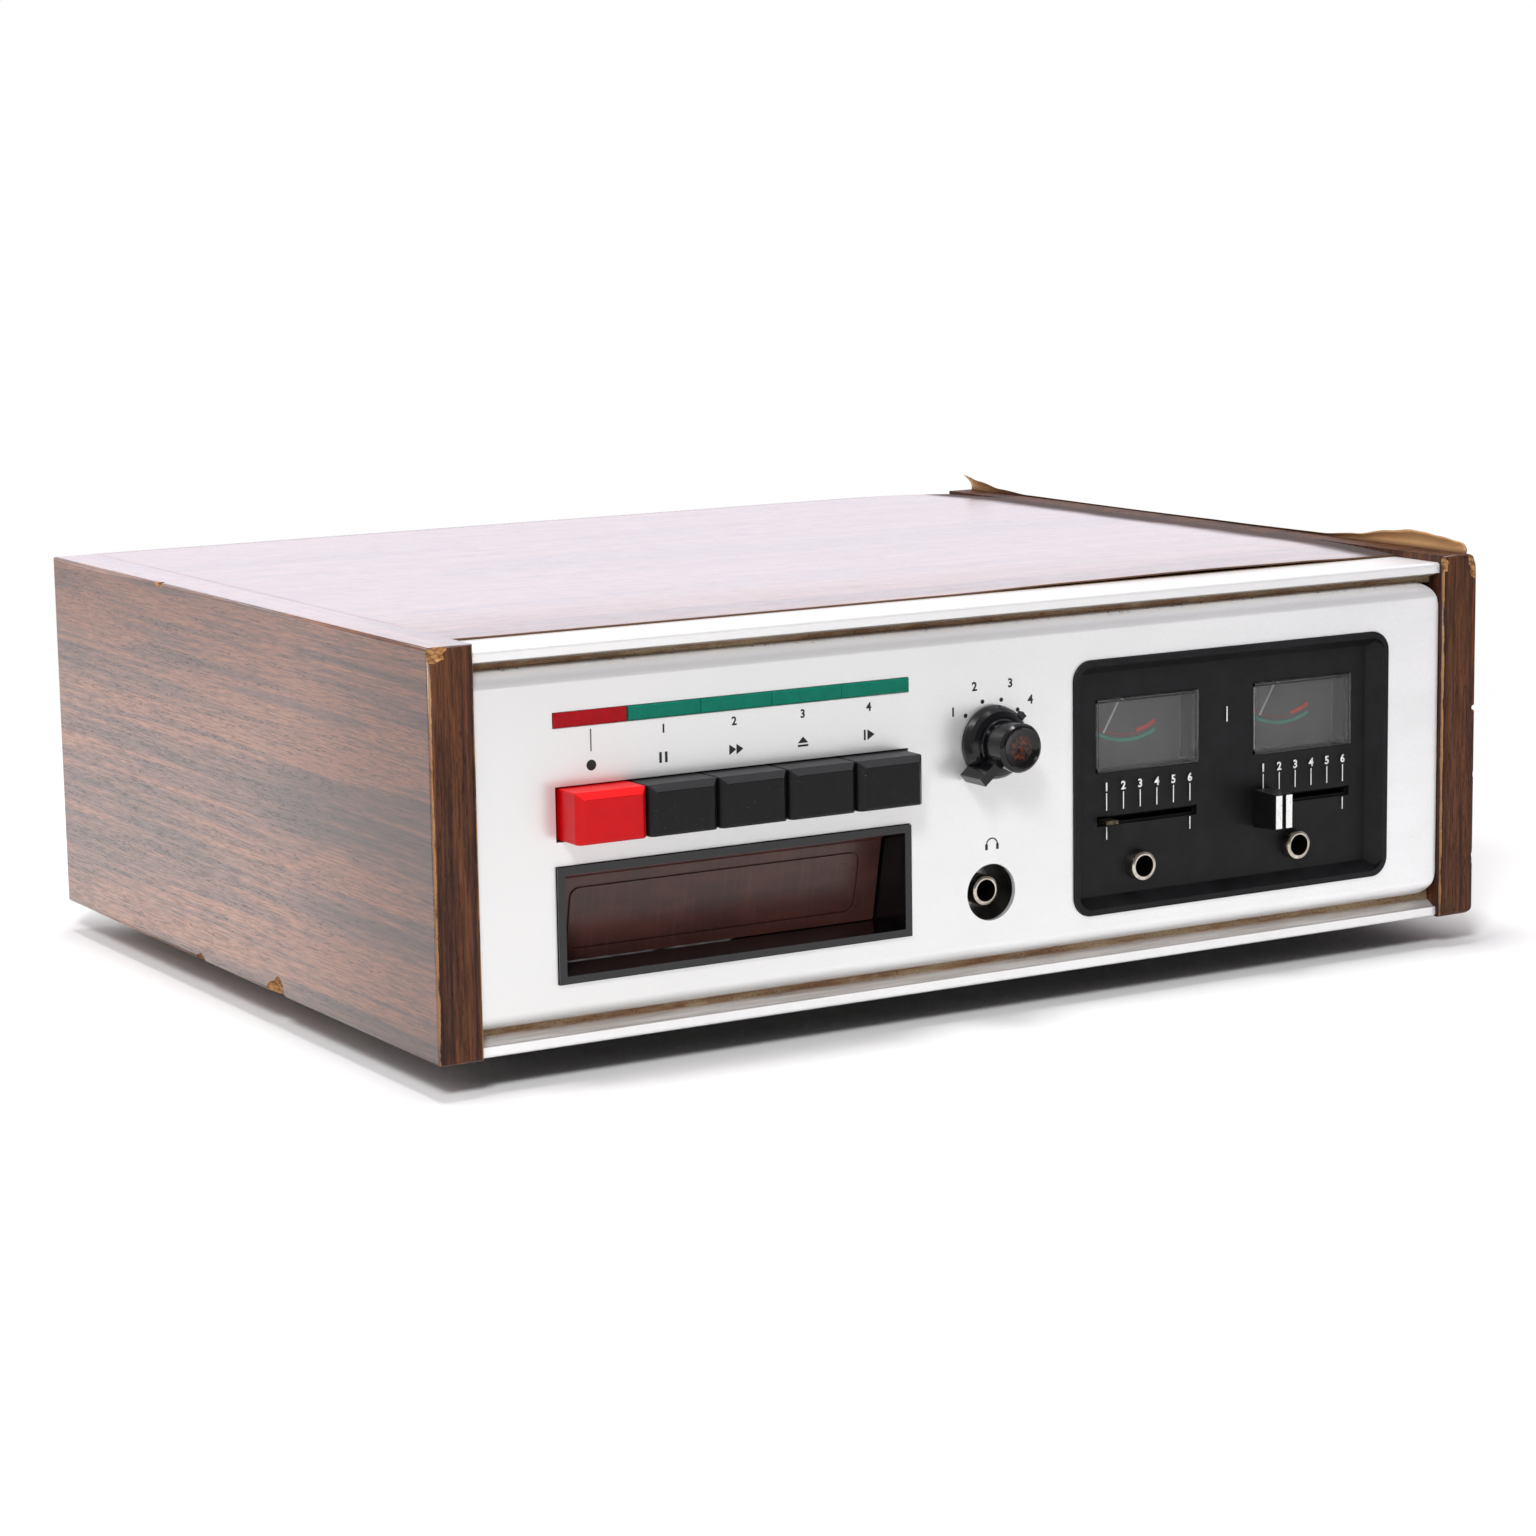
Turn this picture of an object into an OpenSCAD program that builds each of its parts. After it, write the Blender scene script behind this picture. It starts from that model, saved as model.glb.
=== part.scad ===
// Table-top player and recorder for endless-loop 8 track cartridges.
//
// Every module draws in the cabinet's own frame: x runs to the right from the
// middle, y runs back from the front edges of the side panels, and z runs up
// from their bottom edges. cabinet_frame() then moves the piece so that the
// origin lies under the middle of the whole part, on the plane of its feet.

/* [Cabinet] */
// Overall width across the two side panels
body_w = 360; // [352:1:400]
// Depth of the side panels
body_d = 277; // [270:1:330]
// Height of the side panels
body_h = 113.4; // [112:0.2:126]
// Thickness of the side panels
side_t = 13.6; // [10:0.2:16]
// Thickness of the top panel
top_t = 12; // [9:0.5:15]
// Rounding of the panels' long edges
wood_r = 1.2; // [0.4:0.1:2]
// Rounding of the right panel's outer edges, where they are worn
worn_r = 4; // [1:0.1:5]
// How far the back panel is set in from the rear edges
back_inset = 11; // [10.5:0.5:16]
// Thickness of the back panel
back_t = 2.4; // [1.5:0.1:4]
// Depth of the rebate that takes the back panel's edges
rebate = 5; // [3:0.5:7]
// Width of the glue blocks in the corners
block_w = 16; // [12:1:20]
// Height to which the loose vinyl has lifted above the right panel
vinyl_lift = 5.6; // [2:0.2:8]
// Length of the stretch of vinyl that stands up at the front
vinyl_l = 66; // [30:1:110]
// Thickness of the vinyl
vinyl_t = 0.6; // [0.4:0.1:1]

/* [Feet and chassis] */
// Height of the feet below the side panels
foot_h = 10; // [8:0.5:16]
// Diameter of the feet
foot_d = 22; // [18:1:28]
// Distance of the feet from the nearest side panel
foot_inset = 24; // [16:1:40]
// Sheet thickness of the chassis tray
tray_t = 1.2; // [0.8:0.1:2]
// Height of the tray's floor above the panels' bottom edges
tray_z = 1; // [0.4:0.1:1.5]
// Height of the tray's turned-up flanges
tray_flange = 12; // [8:1:16]

/* [Front] */
// Set-back of the fascia and rails from the side panels' front edges
face_y = 2; // [1:0.1:3]
// Depth of the grooves above and below the fascia
groove_d = 10.4; // [9.6:0.1:12]
// Height of a rail's front lip
rail_t = 3.2; // [2.4:0.1:4]
// Depth of the rails, front to back
rail_d = 24; // [20:0.5:30]
// Thickness of the rails' inner webs
web_t = 2; // [1.4:0.1:3]
// Step from the side panels' tops down to the top rail
rail_drop = 2.2; // [1:0.1:3]
// Depth over which a rail slopes in behind its lip
rail_slope_d = 6.2; // [3:0.1:8]
// Gap left between a rail's slope and the fascia
dirt_gap = 0.6; // [0.4:0.1:1]
// Groove between the top rail and the fascia
groove_top = 2.5; // [1.5:0.1:4]
// Groove between the fascia and the bottom rail
groove_bottom = 3.8; // [2:0.1:4.5]
// Wall of the fascia pan
fascia_t = 1.5; // [1:0.1:2]
// Rounding of the fascia's long front edges
fascia_edge_r = 5; // [3.5:0.1:6]
// Rounding of the fascia's right corners, seen from the front
fascia_corner_r = 8; // [5:0.1:10]
// Gap between the fascia and the side panels
fascia_gap = 0.3; // [0.2:0.1:1]
// Thickness of the steel panel behind the fascia
sub_t = 1.2; // [0.8:0.1:2]
// Clearance around the parts that pass through the fascia
fit = 0.15; // [0.1:0.05:0.3]

/* [Cartridge slot] */
// Middle of the deck controls, left of the cabinet's middle
deck_x = -85.5; // [-90:0.5:-82]
// Outer width of the slot frame
slot_w = 113.9; // [112:0.1:116]
// Outer height of the slot frame
slot_h = 32.5; // [32:0.1:33.5]
// Height of the slot's middle above the fascia's lower edge
slot_rise = 26.85; // [26.5:0.05:27.5]
// Wall of the slot frame
slot_wall = 2.2; // [1.8:0.1:2.4]
// How far the slot frame stands out of the fascia
slot_proud = 1; // [0.4:0.1:2]
// How far the slot frame reaches back behind the panels' front edges
slot_back = 41; // [40.5:0.5:44]
// Width of the guide that holds the cartridge
guide_w = 104.4; // [103:0.1:106]
// Depth of the guide behind the slot frame
guide_d = 57; // [50:1:60]
// Wall of the guide
guide_t = 1.6; // [1.2:0.1:1.8]
// Length of the door from its hinge to its lower edge
door_l = 26.2; // [24:0.1:26.4]
// Thickness of the door
door_t = 2; // [1.4:0.1:2.4]
// Lean of the door at rest
door_tilt = 12; // [8:1:16]
// Radius of the door's hinge pins
door_pin_r = 1.2; // [0.8:0.1:1.3]

/* [Keys] */
// Spacing of the five keys
key_pitch = 22.3; // [21.8:0.1:22.5]
// Gap between neighbouring keys
key_gap = 0.6; // [0.4:0.1:1]
// Height of a key's cap
key_h = 14.3; // [12:0.1:15]
// Height of the keys' middle above the slot frame
key_rise = 14.4; // [13.6:0.1:15]
// How far a key stands out of the fascia
key_reach = 10.9; // [7:0.1:14]
// Bevel round a key's face
key_bevel = 1.9; // [0.8:0.1:2.6]
// Travel of a key
key_travel = 4.5; // [3:0.1:5]
// Width of the opening for the keys
key_open_w = 113.3; // [112.6:0.1:115]
// Height of the opening for the keys
key_open_h = 15.2; // [15.2:0.1:16]

/* [Indicators] */
// Width of the strip of indicator lenses
lens_w = 113.8; // [108:0.1:115]
// Height of the lenses
lens_h = 4.1; // [3:0.1:5]
// Drop of the lenses' middle below the fascia's upper edge
lens_drop = 15.15; // [14.5:0.05:16.5]
// How far the lenses stand out of the fascia
lens_proud = 0.8; // [0.2:0.1:1.5]

/* [Selector] */
// Drop of the selector's axis below the fascia's upper edge
knob_drop = 34.35; // [32:0.05:36]
// Radius of the knob's skirt
knob_skirt_r = 10.8; // [9.5:0.1:11.5]
// Radius of the knob's grip
knob_r = 7; // [6.4:0.1:8]
// How far the knob stands out of the fascia
knob_reach = 15.5; // [14:0.1:18]
// Reach of the knob's lever from its axis
lever_r = 14.6; // [12:0.1:16]
// Width of the knob's lever
lever_w = 2.9; // [2.4:0.1:4.5]
// Pointer's angle at rest, counted from the right towards the top
pointer_rest = 40; // [30:1:45]
// Radius of the selector's shaft
shaft_r = 3; // [2.5:0.1:3.2]

/* [Meters and volume] */
// Middle of the meter frame, right of the cabinet's middle
meter_x = 87.3; // [86:0.1:90]
// Drop of the meter frame's middle below the fascia's middle
meter_drop = 2.45; // [1:0.05:3]
// Outer width of the meter frame
meter_w = 117.4; // [116:0.1:120]
// Outer height of the meter frame
meter_h = 76; // [75:0.1:77.5]
// Corner rounding of the meter frame
meter_r = 6; // [4:0.1:7]
// How far the meter frame stands out of the fascia
meter_proud = 0.8; // [0.4:0.1:2]
// Depth of the meter frame's floor behind the panels' front edges
floor_y = 6; // [5.4:0.1:7]
// Distance of each channel's controls from the frame's middle
channel_x = 29.1; // [28:0.1:29.5]
// Width of a meter's window
window_w = 37.5; // [34:0.1:38]
// Height of a meter's window
window_h = 22.2; // [20:0.1:23]
// Height of the windows' middle above the frame's middle
window_rise = 14.5; // [13.7:0.1:15.2]
// Height of the needles' pivots above the windows' middle
pivot_rise = 19.1; // [18.7:0.1:19.3]
// Length of a needle
needle_l = 22.6; // [18:0.1:24]
// Lean of a needle at rest, left of straight down
needle_rest = 31; // [25:1:35]
// Drop of the volume slots below the frame's middle
volume_drop = 11; // [9.8:0.1:11.4]
// Travel of a volume slider
volume_travel = 30.5; // [25:0.5:31]
// Width of a volume knob's face
volume_knob_w = 6.4; // [5.6:0.1:7]
// Height of a volume knob's face
volume_knob_h = 10.5; // [8:0.1:11]
// Growth of a volume knob from its face to its back
volume_knob_draft = 1.2; // [0:0.1:1.6]
// Drop of a volume knob's middle below its slot
volume_knob_drop = 1.8; // [0:0.1:2]
// How far a volume knob stands out of the side panels' front edges
volume_knob_reach = 4.8; // [3:0.1:6]

/* [Jacks] */
// Place of the headphone jack, right of the cabinet's middle
phone_x = -0.6; // [-3:0.1:3]
// Height of the headphone jack above the fascia's lower edge
phone_rise = 20; // [18:0.1:23]
// Diameter of the hole round the headphone jack
phone_hole_d = 16.7; // [15:0.1:19]
// Bore of the jacks
jack_bore_d = 6.5; // [6.4:0.05:6.6]
// Outer diameter of the jacks' bushings
jack_d = 9; // [8.4:0.1:9.6]
// Drop of the microphone jacks below the meter frame's middle
mic_drop = 25.4; // [24.8:0.1:26.8]
// Distance of each microphone jack to the left of its channel's middle
mic_shift = 3.4; // [0:0.1:6]
// Depth of a jack's bore
jack_depth = 30; // [26:0.5:32]

/* [Drive] */
// Distance of the capstan from the deck's middle
capstan_x = 32; // [28:0.5:34]
// Depth of the capstan behind the panels' front edges
capstan_y = 105; // [104.5:0.5:112]
// Radius of the capstan
capstan_r = 2.4; // [1.8:0.1:3]
// Radius of the flywheel
flywheel_r = 36; // [30:0.5:38]
// Distance from the capstan to the motor
belt_span = 92; // [86:0.5:96]
// Radius of the motor's pulley
pulley_r = 6; // [4:0.5:9]
// Radius of the motor's can
motor_r = 18; // [14:0.5:20]
// Height of the motor's can
motor_h = 34.4; // [28:0.2:38]
// Travel of the tape head over the four channels
head_travel = 2.4; // [1.8:0.1:3]

/* [Hidden] */
$fn = 64;

eps = 0.01;
// Play of a shaft or pin in its bore, on the radius
play = 0.05;
// Gap between pieces that move past each other
run_gap = 0.3;
knob_x = 0;
inner_w = body_w - 2 * side_t;
reach = knob_reach - face_y;
front_y = -(body_d + reach) / 2 + reach;
back_y = body_d - back_inset - back_t;
top_y = face_y + rail_d + 0.4;
web_y = face_y + groove_d;
sub_y = web_y + web_t;
sub_back = sub_y + sub_t;
skin_y = face_y + fascia_t;
fascia_z0 = rail_t + groove_bottom;
fascia_z1 = body_h - rail_drop - rail_t - groove_top;
slot_z = fascia_z0 + slot_rise;
key_z = slot_z + slot_h / 2 + key_rise;
lens_z = fascia_z1 - lens_drop;
knob_z = fascia_z1 - knob_drop;
phone_z = fascia_z0 + phone_rise;
meter_z = (fascia_z0 + fascia_z1) / 2 - meter_drop;
window_z = meter_z + window_rise;
pivot_z = window_z + pivot_rise;
volume_z = meter_z - volume_drop;
mic_z = meter_z - mic_drop;
lamp_box_h = 9.4;
// The rails' webs take this share of the room beside what stands behind the fascia
web_share = 0.85;
top_room = min(fascia_z1 - meter_z - meter_h / 2, lens_drop - lamp_box_h / 2);
bottom_room = meter_z - meter_h / 2 - fascia_z0;
top_web_end = fascia_z1 - top_room * web_share;
bottom_web_end = fascia_z0 + bottom_room * web_share;
tray_top = tray_z + tray_t;
slot_in_w = slot_w - 2 * slot_wall;
slot_in_h = slot_h - 2 * slot_wall;
slot_floor = slot_z - slot_in_h / 2;
slot_roof = slot_z + slot_in_h / 2;
flange_t = 1.6;
door_w = slot_in_w - 1.2;
door_barrel_r = 1.6;
door_y = 13.5;
door_z = slot_roof - door_barrel_r - 0.4;
guide_back = slot_back + guide_d;
deck_t = 1.6;
deck_w = slot_w + 8;
// Height of the guide's rails above the deck plate
rail_rise = 3.2;
deck_top = slot_floor - rail_rise;
deck_z = deck_top - deck_t;
deck_back = back_y - 27.6;
key_back = 6.5;
stem_w = 8;
stem_h = 8.4;
stem_back = 56;
// Size of one push switch behind the key frame
button_w = 16;
button_d = 24;
button_h = 13;
frame_back = 53.5;
cell_pitch = lens_w / 5;
lens_back = 6;
switch_r = 12;
window_y = floor_y - 0.6;
cover_back = 16.5;
cover_wall = 1.2;
case_back = 34;
needle_y = 12.4;
pot_l = 44;
pot_h = 8.4;
pot_back = 15.5;
floor_t = 1.5;
lever_front = 2.4;
phone_front = 4.8;
mic_front = 2.8;
jack_body_w = 12;
jack_lip = 0.8;
fly_z = tray_top + 2;
fly_t = 7;
belt_w = 4;
belt_t = 0.8;
cam_x = -36;
cam_y = 128;
cam_r = 12;
cam_steps = 12;
head_x = -8;
lever_t = 1.2;
lever_l = 4.4;
volume_groove = 1.4;
cam_top = deck_top + 3.8;
cam_turn = 270;
bearing_r = 6;
bush_r = shaft_r + 1.8;
socket_r = 4.15;
collar_r = 5.2;
socket_l = 8.4;
socket_x = -inner_w / 2 + 48.4;
socket_z = 44;
socket_pitch = 16;
grommet_x = inner_w / 2 - block_w - 22.4;
grommet_z = 26;
block_screw_z = [24, body_h - top_t - 23.4];
// Transformer: stack of laminations, and the coil that shows on both sides
core_w = 52;
core_d = 30;
core_h = 44;
coil_w = 32;
coil_d = 48;
coil_h = 28;
trafo_x = inner_w / 2 - 48.4;
trafo_y = back_y - coil_d / 2 - 21.6;
board_x0 = deck_x + deck_w / 2 + 12.55;
board_x1 = inner_w / 2 - 20.4;
board_y0 = 66;
board_y1 = trafo_y - coil_d / 2 - 18;
board_z = tray_top + 11.8;
board_t = 1.6;
foot_xs = [-1, 1] * (inner_w / 2 - foot_inset);
foot_ys = [face_y + rail_d + foot_inset, back_y - foot_inset];
// Smoothing capacitors on the board
can_r = 9;
can_h = 28;
can_pitch = 26;
// Coupling capacitors
small_can_r = 4;
small_can_h = 12;
small_can_pitch = 18;
// Coil cans
coil_side = 10;
coil_can_h = 14;
coil_pitch = 16;
// Heat sink
sink_w = 40;
sink_h = 30;
sink_pitch = 3.4;
// Rails and finger notch of the cartridge guide
guide_rail_w = 8;
guide_rail_x = 40;
notch_w = 48;
notch_l = 23;
// The loose vinyl is tall in front, low along the middle, and rises again to a
// tip at the back
leaf_steps = 40;
leaf_start = 3;
leaf_end = body_d - 0.4;
lip_h = vinyl_lift * 0.16;
leaf_heights = [
    [leaf_start, vinyl_lift * 0.5], [leaf_start + vinyl_l * 0.1, vinyl_lift * 0.72],
    [leaf_start + vinyl_l * 0.27, vinyl_lift], [leaf_start + vinyl_l * 0.55, vinyl_lift * 0.7],
    [leaf_start + vinyl_l, lip_h], [leaf_end - vinyl_l * 0.4, lip_h],
    [leaf_end - vinyl_l * 0.18, vinyl_lift * 0.4], [leaf_end, vinyl_lift]
];

// ---- Helpers -------------------------------------------------------------

// Moves a piece from the cabinet's frame to the part's origin.
module cabinet_frame() {
    translate([0, front_y, foot_h]) children();
}

// Extrudes an x-z outline from y0 to y1.
module along_y(y0, y1) {
    translate([0, y1, 0]) rotate([90, 0, 0]) linear_extrude(y1 - y0) children();
}

// Extrudes a y-z outline from x0 to x1.
module along_x(x0, x1) {
    translate([x0, 0, 0]) rotate([90, 0, 90]) linear_extrude(x1 - x0) children();
}

module rounded_rect(w, h, r) {
    square([w - 2 * r, h], center = true);
    square([w, h - 2 * r], center = true);
    for (sx = [-1, 1], sy = [-1, 1])
        translate([sx * (w / 2 - r), sy * (h / 2 - r)]) circle(r = r);
}

module block(x0, x1, y0, y1, z0, z1) {
    translate([x0, y0, z0]) cube([x1 - x0, y1 - y0, z1 - z0]);
}

// Cylinder along y from y0 to y1.
module rod_y(x, z, r, y0, y1) {
    translate([x, y1, z]) rotate([90, 0, 0]) cylinder(r = r, h = y1 - y0);
}

// Cylinder along z from z0 to z1.
module rod_z(x, y, r, z0, z1) {
    translate([x, y, z0]) cylinder(r = r, h = z1 - z0);
}

// Block whose front edges are bevelled: b at the top and sides, bb below.
module bevelled_block(w, h, y0, y1, b, bb) {
    intersection() {
        along_x(-w / 2, w / 2) polygon([
            [y0, -h / 2 + bb], [y0 + bb, -h / 2], [y1, -h / 2],
            [y1, h / 2], [y0 + b, h / 2], [y0, h / 2 - b]
        ]);
        translate([0, 0, -h / 2]) linear_extrude(h) polygon([
            [-w / 2, y0 + b], [-w / 2 + b, y0], [w / 2 - b, y0],
            [w / 2, y0 + b], [w / 2, y1], [-w / 2, y1]
        ]);
    }
}

// ---- Cabinet ---------------------------------------------------------------

// Board with rounded long edges, rebated at the back for the back panel.
module side_board(side) {
    x_mid = side * (body_w - side_t) / 2;
    x_in = side * inner_w / 2;
    difference() {
        intersection() {
            along_y(0, body_d) translate([x_in, body_h / 2])
                rounded_rect(2 * side_t, body_h, side > 0 ? worn_r : wood_r);
            along_x(x_mid - side_t / 2, x_mid + side_t / 2)
                translate([body_d / 2, body_h / 2]) rounded_rect(body_d, body_h, wood_r);
            translate([x_mid, body_d / 2, 0])
                linear_extrude(body_h) rounded_rect(side_t, body_d, wood_r);
        }
        block(x_in - rebate, x_in + rebate, back_y, body_d + eps,
              -eps, body_h - top_t + rebate);
    }
}

module left_side_panel() {
    color("saddlebrown") cabinet_frame() side_board(-1);
}

module right_side_panel() {
    color("saddlebrown") cabinet_frame() side_board(1);
}

module top_panel() {
    color("peru") cabinet_frame() difference() {
        block(-inner_w / 2, inner_w / 2, top_y, body_d, body_h - top_t, body_h);
        block(-inner_w / 2 - eps, inner_w / 2 + eps, back_y, body_d + eps,
              body_h - top_t - eps, body_h - top_t + rebate);
    }
}

// Pilot holes for the back panel's screws.
module block_pilots() {
    for (side = [-1, 1], z = block_screw_z)
        rod_y(side * (inner_w - block_w) / 2, z, 1.7, back_y - 13, back_y + eps);
}

// Three-cornered glue blocks under the top, and upright blocks for the back.
module corner_blocks() {
    color("burlywood") cabinet_frame() for (side = [-1, 1]) {
        along_y(top_y + 14, back_y - 2 * block_w) polygon([
            [side * inner_w / 2, body_h - top_t],
            [side * (inner_w / 2 - block_w), body_h - top_t],
            [side * inner_w / 2, body_h - top_t - block_w]
        ]);
        difference() {
            block(side * (inner_w - block_w) / 2 - block_w / 2,
                  side * (inner_w - block_w) / 2 + block_w / 2,
                  back_y - block_w, back_y, tray_flange + 4, body_h - top_t);
            block_pilots();
        }
    }
}

// Cross-section of the leaf at y: it leans inwards as it rises by h.
function leaf_ring(y, h) =
    let (x = body_w / 2 - worn_r - vinyl_t, lean = h * 0.45)
    [for (p = [[0, 0], [1, 0], [1, 0.55], [1, 1], [0, 1], [0, 0.55]])
        [x + vinyl_t * p[0] - lean * p[1] * p[1], y, body_h + h * p[1]]];

// Vinyl that has come loose along the right panel's top edge.
module lifted_vinyl() {
    n = 6;
    last = leaf_steps * n;
    points = [for (i = [0 : leaf_steps])
        let (y = leaf_start + (leaf_end - leaf_start) * i / leaf_steps)
        each leaf_ring(y, lookup(y, leaf_heights))];
    sides = [for (i = [0 : leaf_steps - 1], j = [0 : n - 1])
        let (a = i * n + j, b = i * n + (j + 1) % n)
        each [[a, a + n, b], [b, a + n, b + n]]];
    front = [[0, 1, 2], [0, 2, 5], [2, 3, 4], [2, 4, 5]];
    back = [for (c = front) [c[0] + last, c[2] + last, c[1] + last]];
    color("tan") cabinet_frame()
        polyhedron(points, concat(sides, front, back), convexity = 4);
}

// ---- Front -----------------------------------------------------------------

// Lip, slope and web of a rail, drawn upside up; sign -1 turns it over. The
// slope falls by drop behind the lip.
module rail_outline(z_outer, web_end, drop, s) {
    r = 1.1;
    z_in = z_outer - s * rail_t;
    polygon([
        [face_y + r, z_in + s * r], [web_y + eps, z_in + s * r],
        [web_y + eps, z_in - s * drop], [face_y + rail_slope_d, z_in - s * drop],
        [face_y + r, z_in]
    ]);
    translate([face_y + r, min(z_outer, z_in)]) square([rail_d - r, rail_t]);
    translate([face_y, min(z_outer - s * r, z_in)]) square([r + eps, rail_t - r]);
    translate([face_y + r, z_outer - s * r]) circle(r = r);
    translate([web_y, min(z_in, web_end)]) square([web_t, abs(web_end - z_in)]);
}

module top_rail() {
    color("gainsboro") cabinet_frame() along_x(-inner_w / 2, inner_w / 2)
        rail_outline(body_h - rail_drop, top_web_end, groove_top - dirt_gap, 1);
}

module bottom_rail() {
    color("gainsboro") cabinet_frame() along_x(-inner_w / 2, inner_w / 2)
        rail_outline(0, bottom_web_end, groove_bottom - dirt_gap, -1);
}

// Rounded front profile of the fascia, seen from the side.
module fascia_side(inset, y_end) {
    r = fascia_edge_r - inset;
    z0 = fascia_z0 + inset;
    z1 = fascia_z1 - inset;
    y0 = face_y + inset;
    translate([y0 + r, z0]) square([y_end - y0 - r, z1 - z0]);
    translate([y0, z0 + r]) square([r + eps, z1 - z0 - 2 * r]);
    for (z = [z0 + r, z1 - r]) translate([y0 + r, z]) circle(r = r);
}

// The left side panel hides the fascia's left end, whose corners are square.
module fascia_block(inset, y_end) {
    w = inner_w - 2 * fascia_gap - 2 * inset;
    h = fascia_z1 - fascia_z0 - 2 * inset;
    intersection() {
        along_x(-w / 2, w / 2) fascia_side(inset, y_end);
        along_y(face_y - 1, y_end + 1) translate([0, (fascia_z0 + fascia_z1) / 2]) {
            rounded_rect(w, h, fascia_corner_r - inset);
            translate([-w / 2, -h / 2]) square([w / 2, h]);
        }
    }
}

module fascia_openings() {
    translate([deck_x, lens_z]) square([lens_w + 2 * fit, lens_h + 2 * fit], center = true);
    translate([deck_x, key_z]) square([key_open_w, key_open_h], center = true);
    translate([deck_x, slot_z]) square([slot_w + 2 * fit, slot_h + 2 * fit], center = true);
    translate([knob_x, knob_z]) circle(r = shaft_r + 2);
    translate([phone_x, phone_z]) circle(d = phone_hole_d);
    translate([meter_x, meter_z])
        rounded_rect(meter_w + 2 * fit, meter_h + 2 * fit, meter_r + fit);
}

module fascia() {
    color("silver") cabinet_frame() difference() {
        fascia_block(0, web_y);
        fascia_block(fascia_t, web_y + eps);
        along_y(face_y - 1, web_y + eps) fascia_openings();
    }
}

// Steel panel behind the fascia that carries the controls.
module front_subpanel() {
    w = inner_w - 4;
    color("lightsteelblue") cabinet_frame() difference() {
        block(-w / 2, w / 2, sub_y, sub_back, rail_t + 1, body_h - rail_drop - rail_t - 1);
        along_y(sub_y - 1, sub_back + 1) {
            translate([deck_x, slot_z])
                square([slot_w + 2 * fit, slot_h + 2 * fit], center = true);
            translate([deck_x, key_z]) square([key_open_w - 4, stem_h + 3], center = true);
            translate([knob_x, knob_z]) circle(r = bush_r + play);
            translate([phone_x, phone_z]) circle(r = jack_d / 2 + play);
            translate([meter_x, meter_z]) square([meter_w - 3, meter_h - 3], center = true);
        }
    }
}

// ---- Chassis and back ------------------------------------------------------

// Cooling slots under the circuit board.
module tray_vents() {
    rows = 9;
    pitch = 8;
    slot = [50, 4, tray_t + 2];
    for (i = [0 : rows - 1])
        translate([board_x0 + 32, board_y0 + 18 + pitch * i, tray_z - 1]) cube(slot);
}

module chassis_tray() {
    w = inner_w - 0.4;
    y0 = face_y + rail_d;
    color("lightgray") cabinet_frame() difference() {
        union() {
            block(-w / 2, w / 2, y0, back_y, tray_z, tray_top);
            for (side = [-1, 1])
                block(side * (w - tray_t) / 2 - tray_t / 2, side * (w - tray_t) / 2 + tray_t / 2,
                      y0, back_y, tray_z, tray_z + tray_flange);
            block(-w / 2, w / 2, back_y - tray_t, back_y, tray_z, tray_z + tray_flange);
        }
        tray_vents();
        for (x = foot_xs, y = foot_ys) rod_z(x, y, 2, tray_z - 1, tray_top + 1);
    }
}

module socket_places() {
    for (i = [-1, 1], j = [-1, 1])
        translate([socket_x + i * socket_pitch / 2, 0, socket_z + j * socket_pitch / 2])
            children();
}

module back_vents() {
    count = 12;
    pitch = 10;
    slot = [4, back_t + 2, 30];
    for (i = [0 : count - 1])
        translate([pitch * (i - 2), back_y - 1, body_h - top_t - 9.4 - slot[2]]) cube(slot);
}

// Hardboard back with cooling slots, in the rebates of the sides and top.
module back_panel() {
    w = inner_w + 2 * rebate - 0.6;
    z1 = body_h - top_t + rebate - 0.3;
    color("dimgray") cabinet_frame() difference() {
        block(-w / 2, w / 2, back_y, back_y + back_t, tray_z, z1);
        back_vents();
        socket_places() rod_y(0, 0, collar_r + fit, back_y - 1, back_y + back_t + 1);
        rod_y(grommet_x, grommet_z, 6.2, back_y - 1, back_y + back_t + 1);
        for (side = [-1, 1], z = block_screw_z)
            rod_y(side * (inner_w - block_w) / 2, z, 2, back_y - 1, back_y + back_t + 1);
    }
}

module rubber_feet() {
    color("black") cabinet_frame() for (x = foot_xs, y = foot_ys)
        translate([x, y, -foot_h]) difference() {
            rotate_extrude() polygon([
                [0, 0], [foot_d / 2 - 1.8, 0], [foot_d / 2 - 1, 0.8],
                [foot_d / 2, foot_h + tray_z], [0, foot_h + tray_z]
            ]);
            translate([0, 0, -eps]) cylinder(r = 4.4, h = foot_h / 2 + eps);
            translate([0, 0, -eps]) cylinder(r = 2, h = foot_h + tray_z + 1);
        }
}

// Foot screws from below and the back panel's screws.
module screws() {
    color("silver") cabinet_frame() {
        for (x = foot_xs, y = foot_ys) {
            rod_z(x, y, 3.8, -foot_h / 2 - 2.2, -foot_h / 2);
            rod_z(x, y, 1.8, -foot_h / 2 - eps, tray_top + 3);
            rod_z(x, y, 3.4, tray_top, tray_top + 2);
        }
        for (side = [-1, 1], z = block_screw_z) {
            x = side * (inner_w - block_w) / 2;
            rod_y(x, z, 3.6, back_y + back_t, back_y + back_t + 2);
            rod_y(x, z, 1.6, back_y - 12, back_y + back_t + eps);
        }
    }
}

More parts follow.
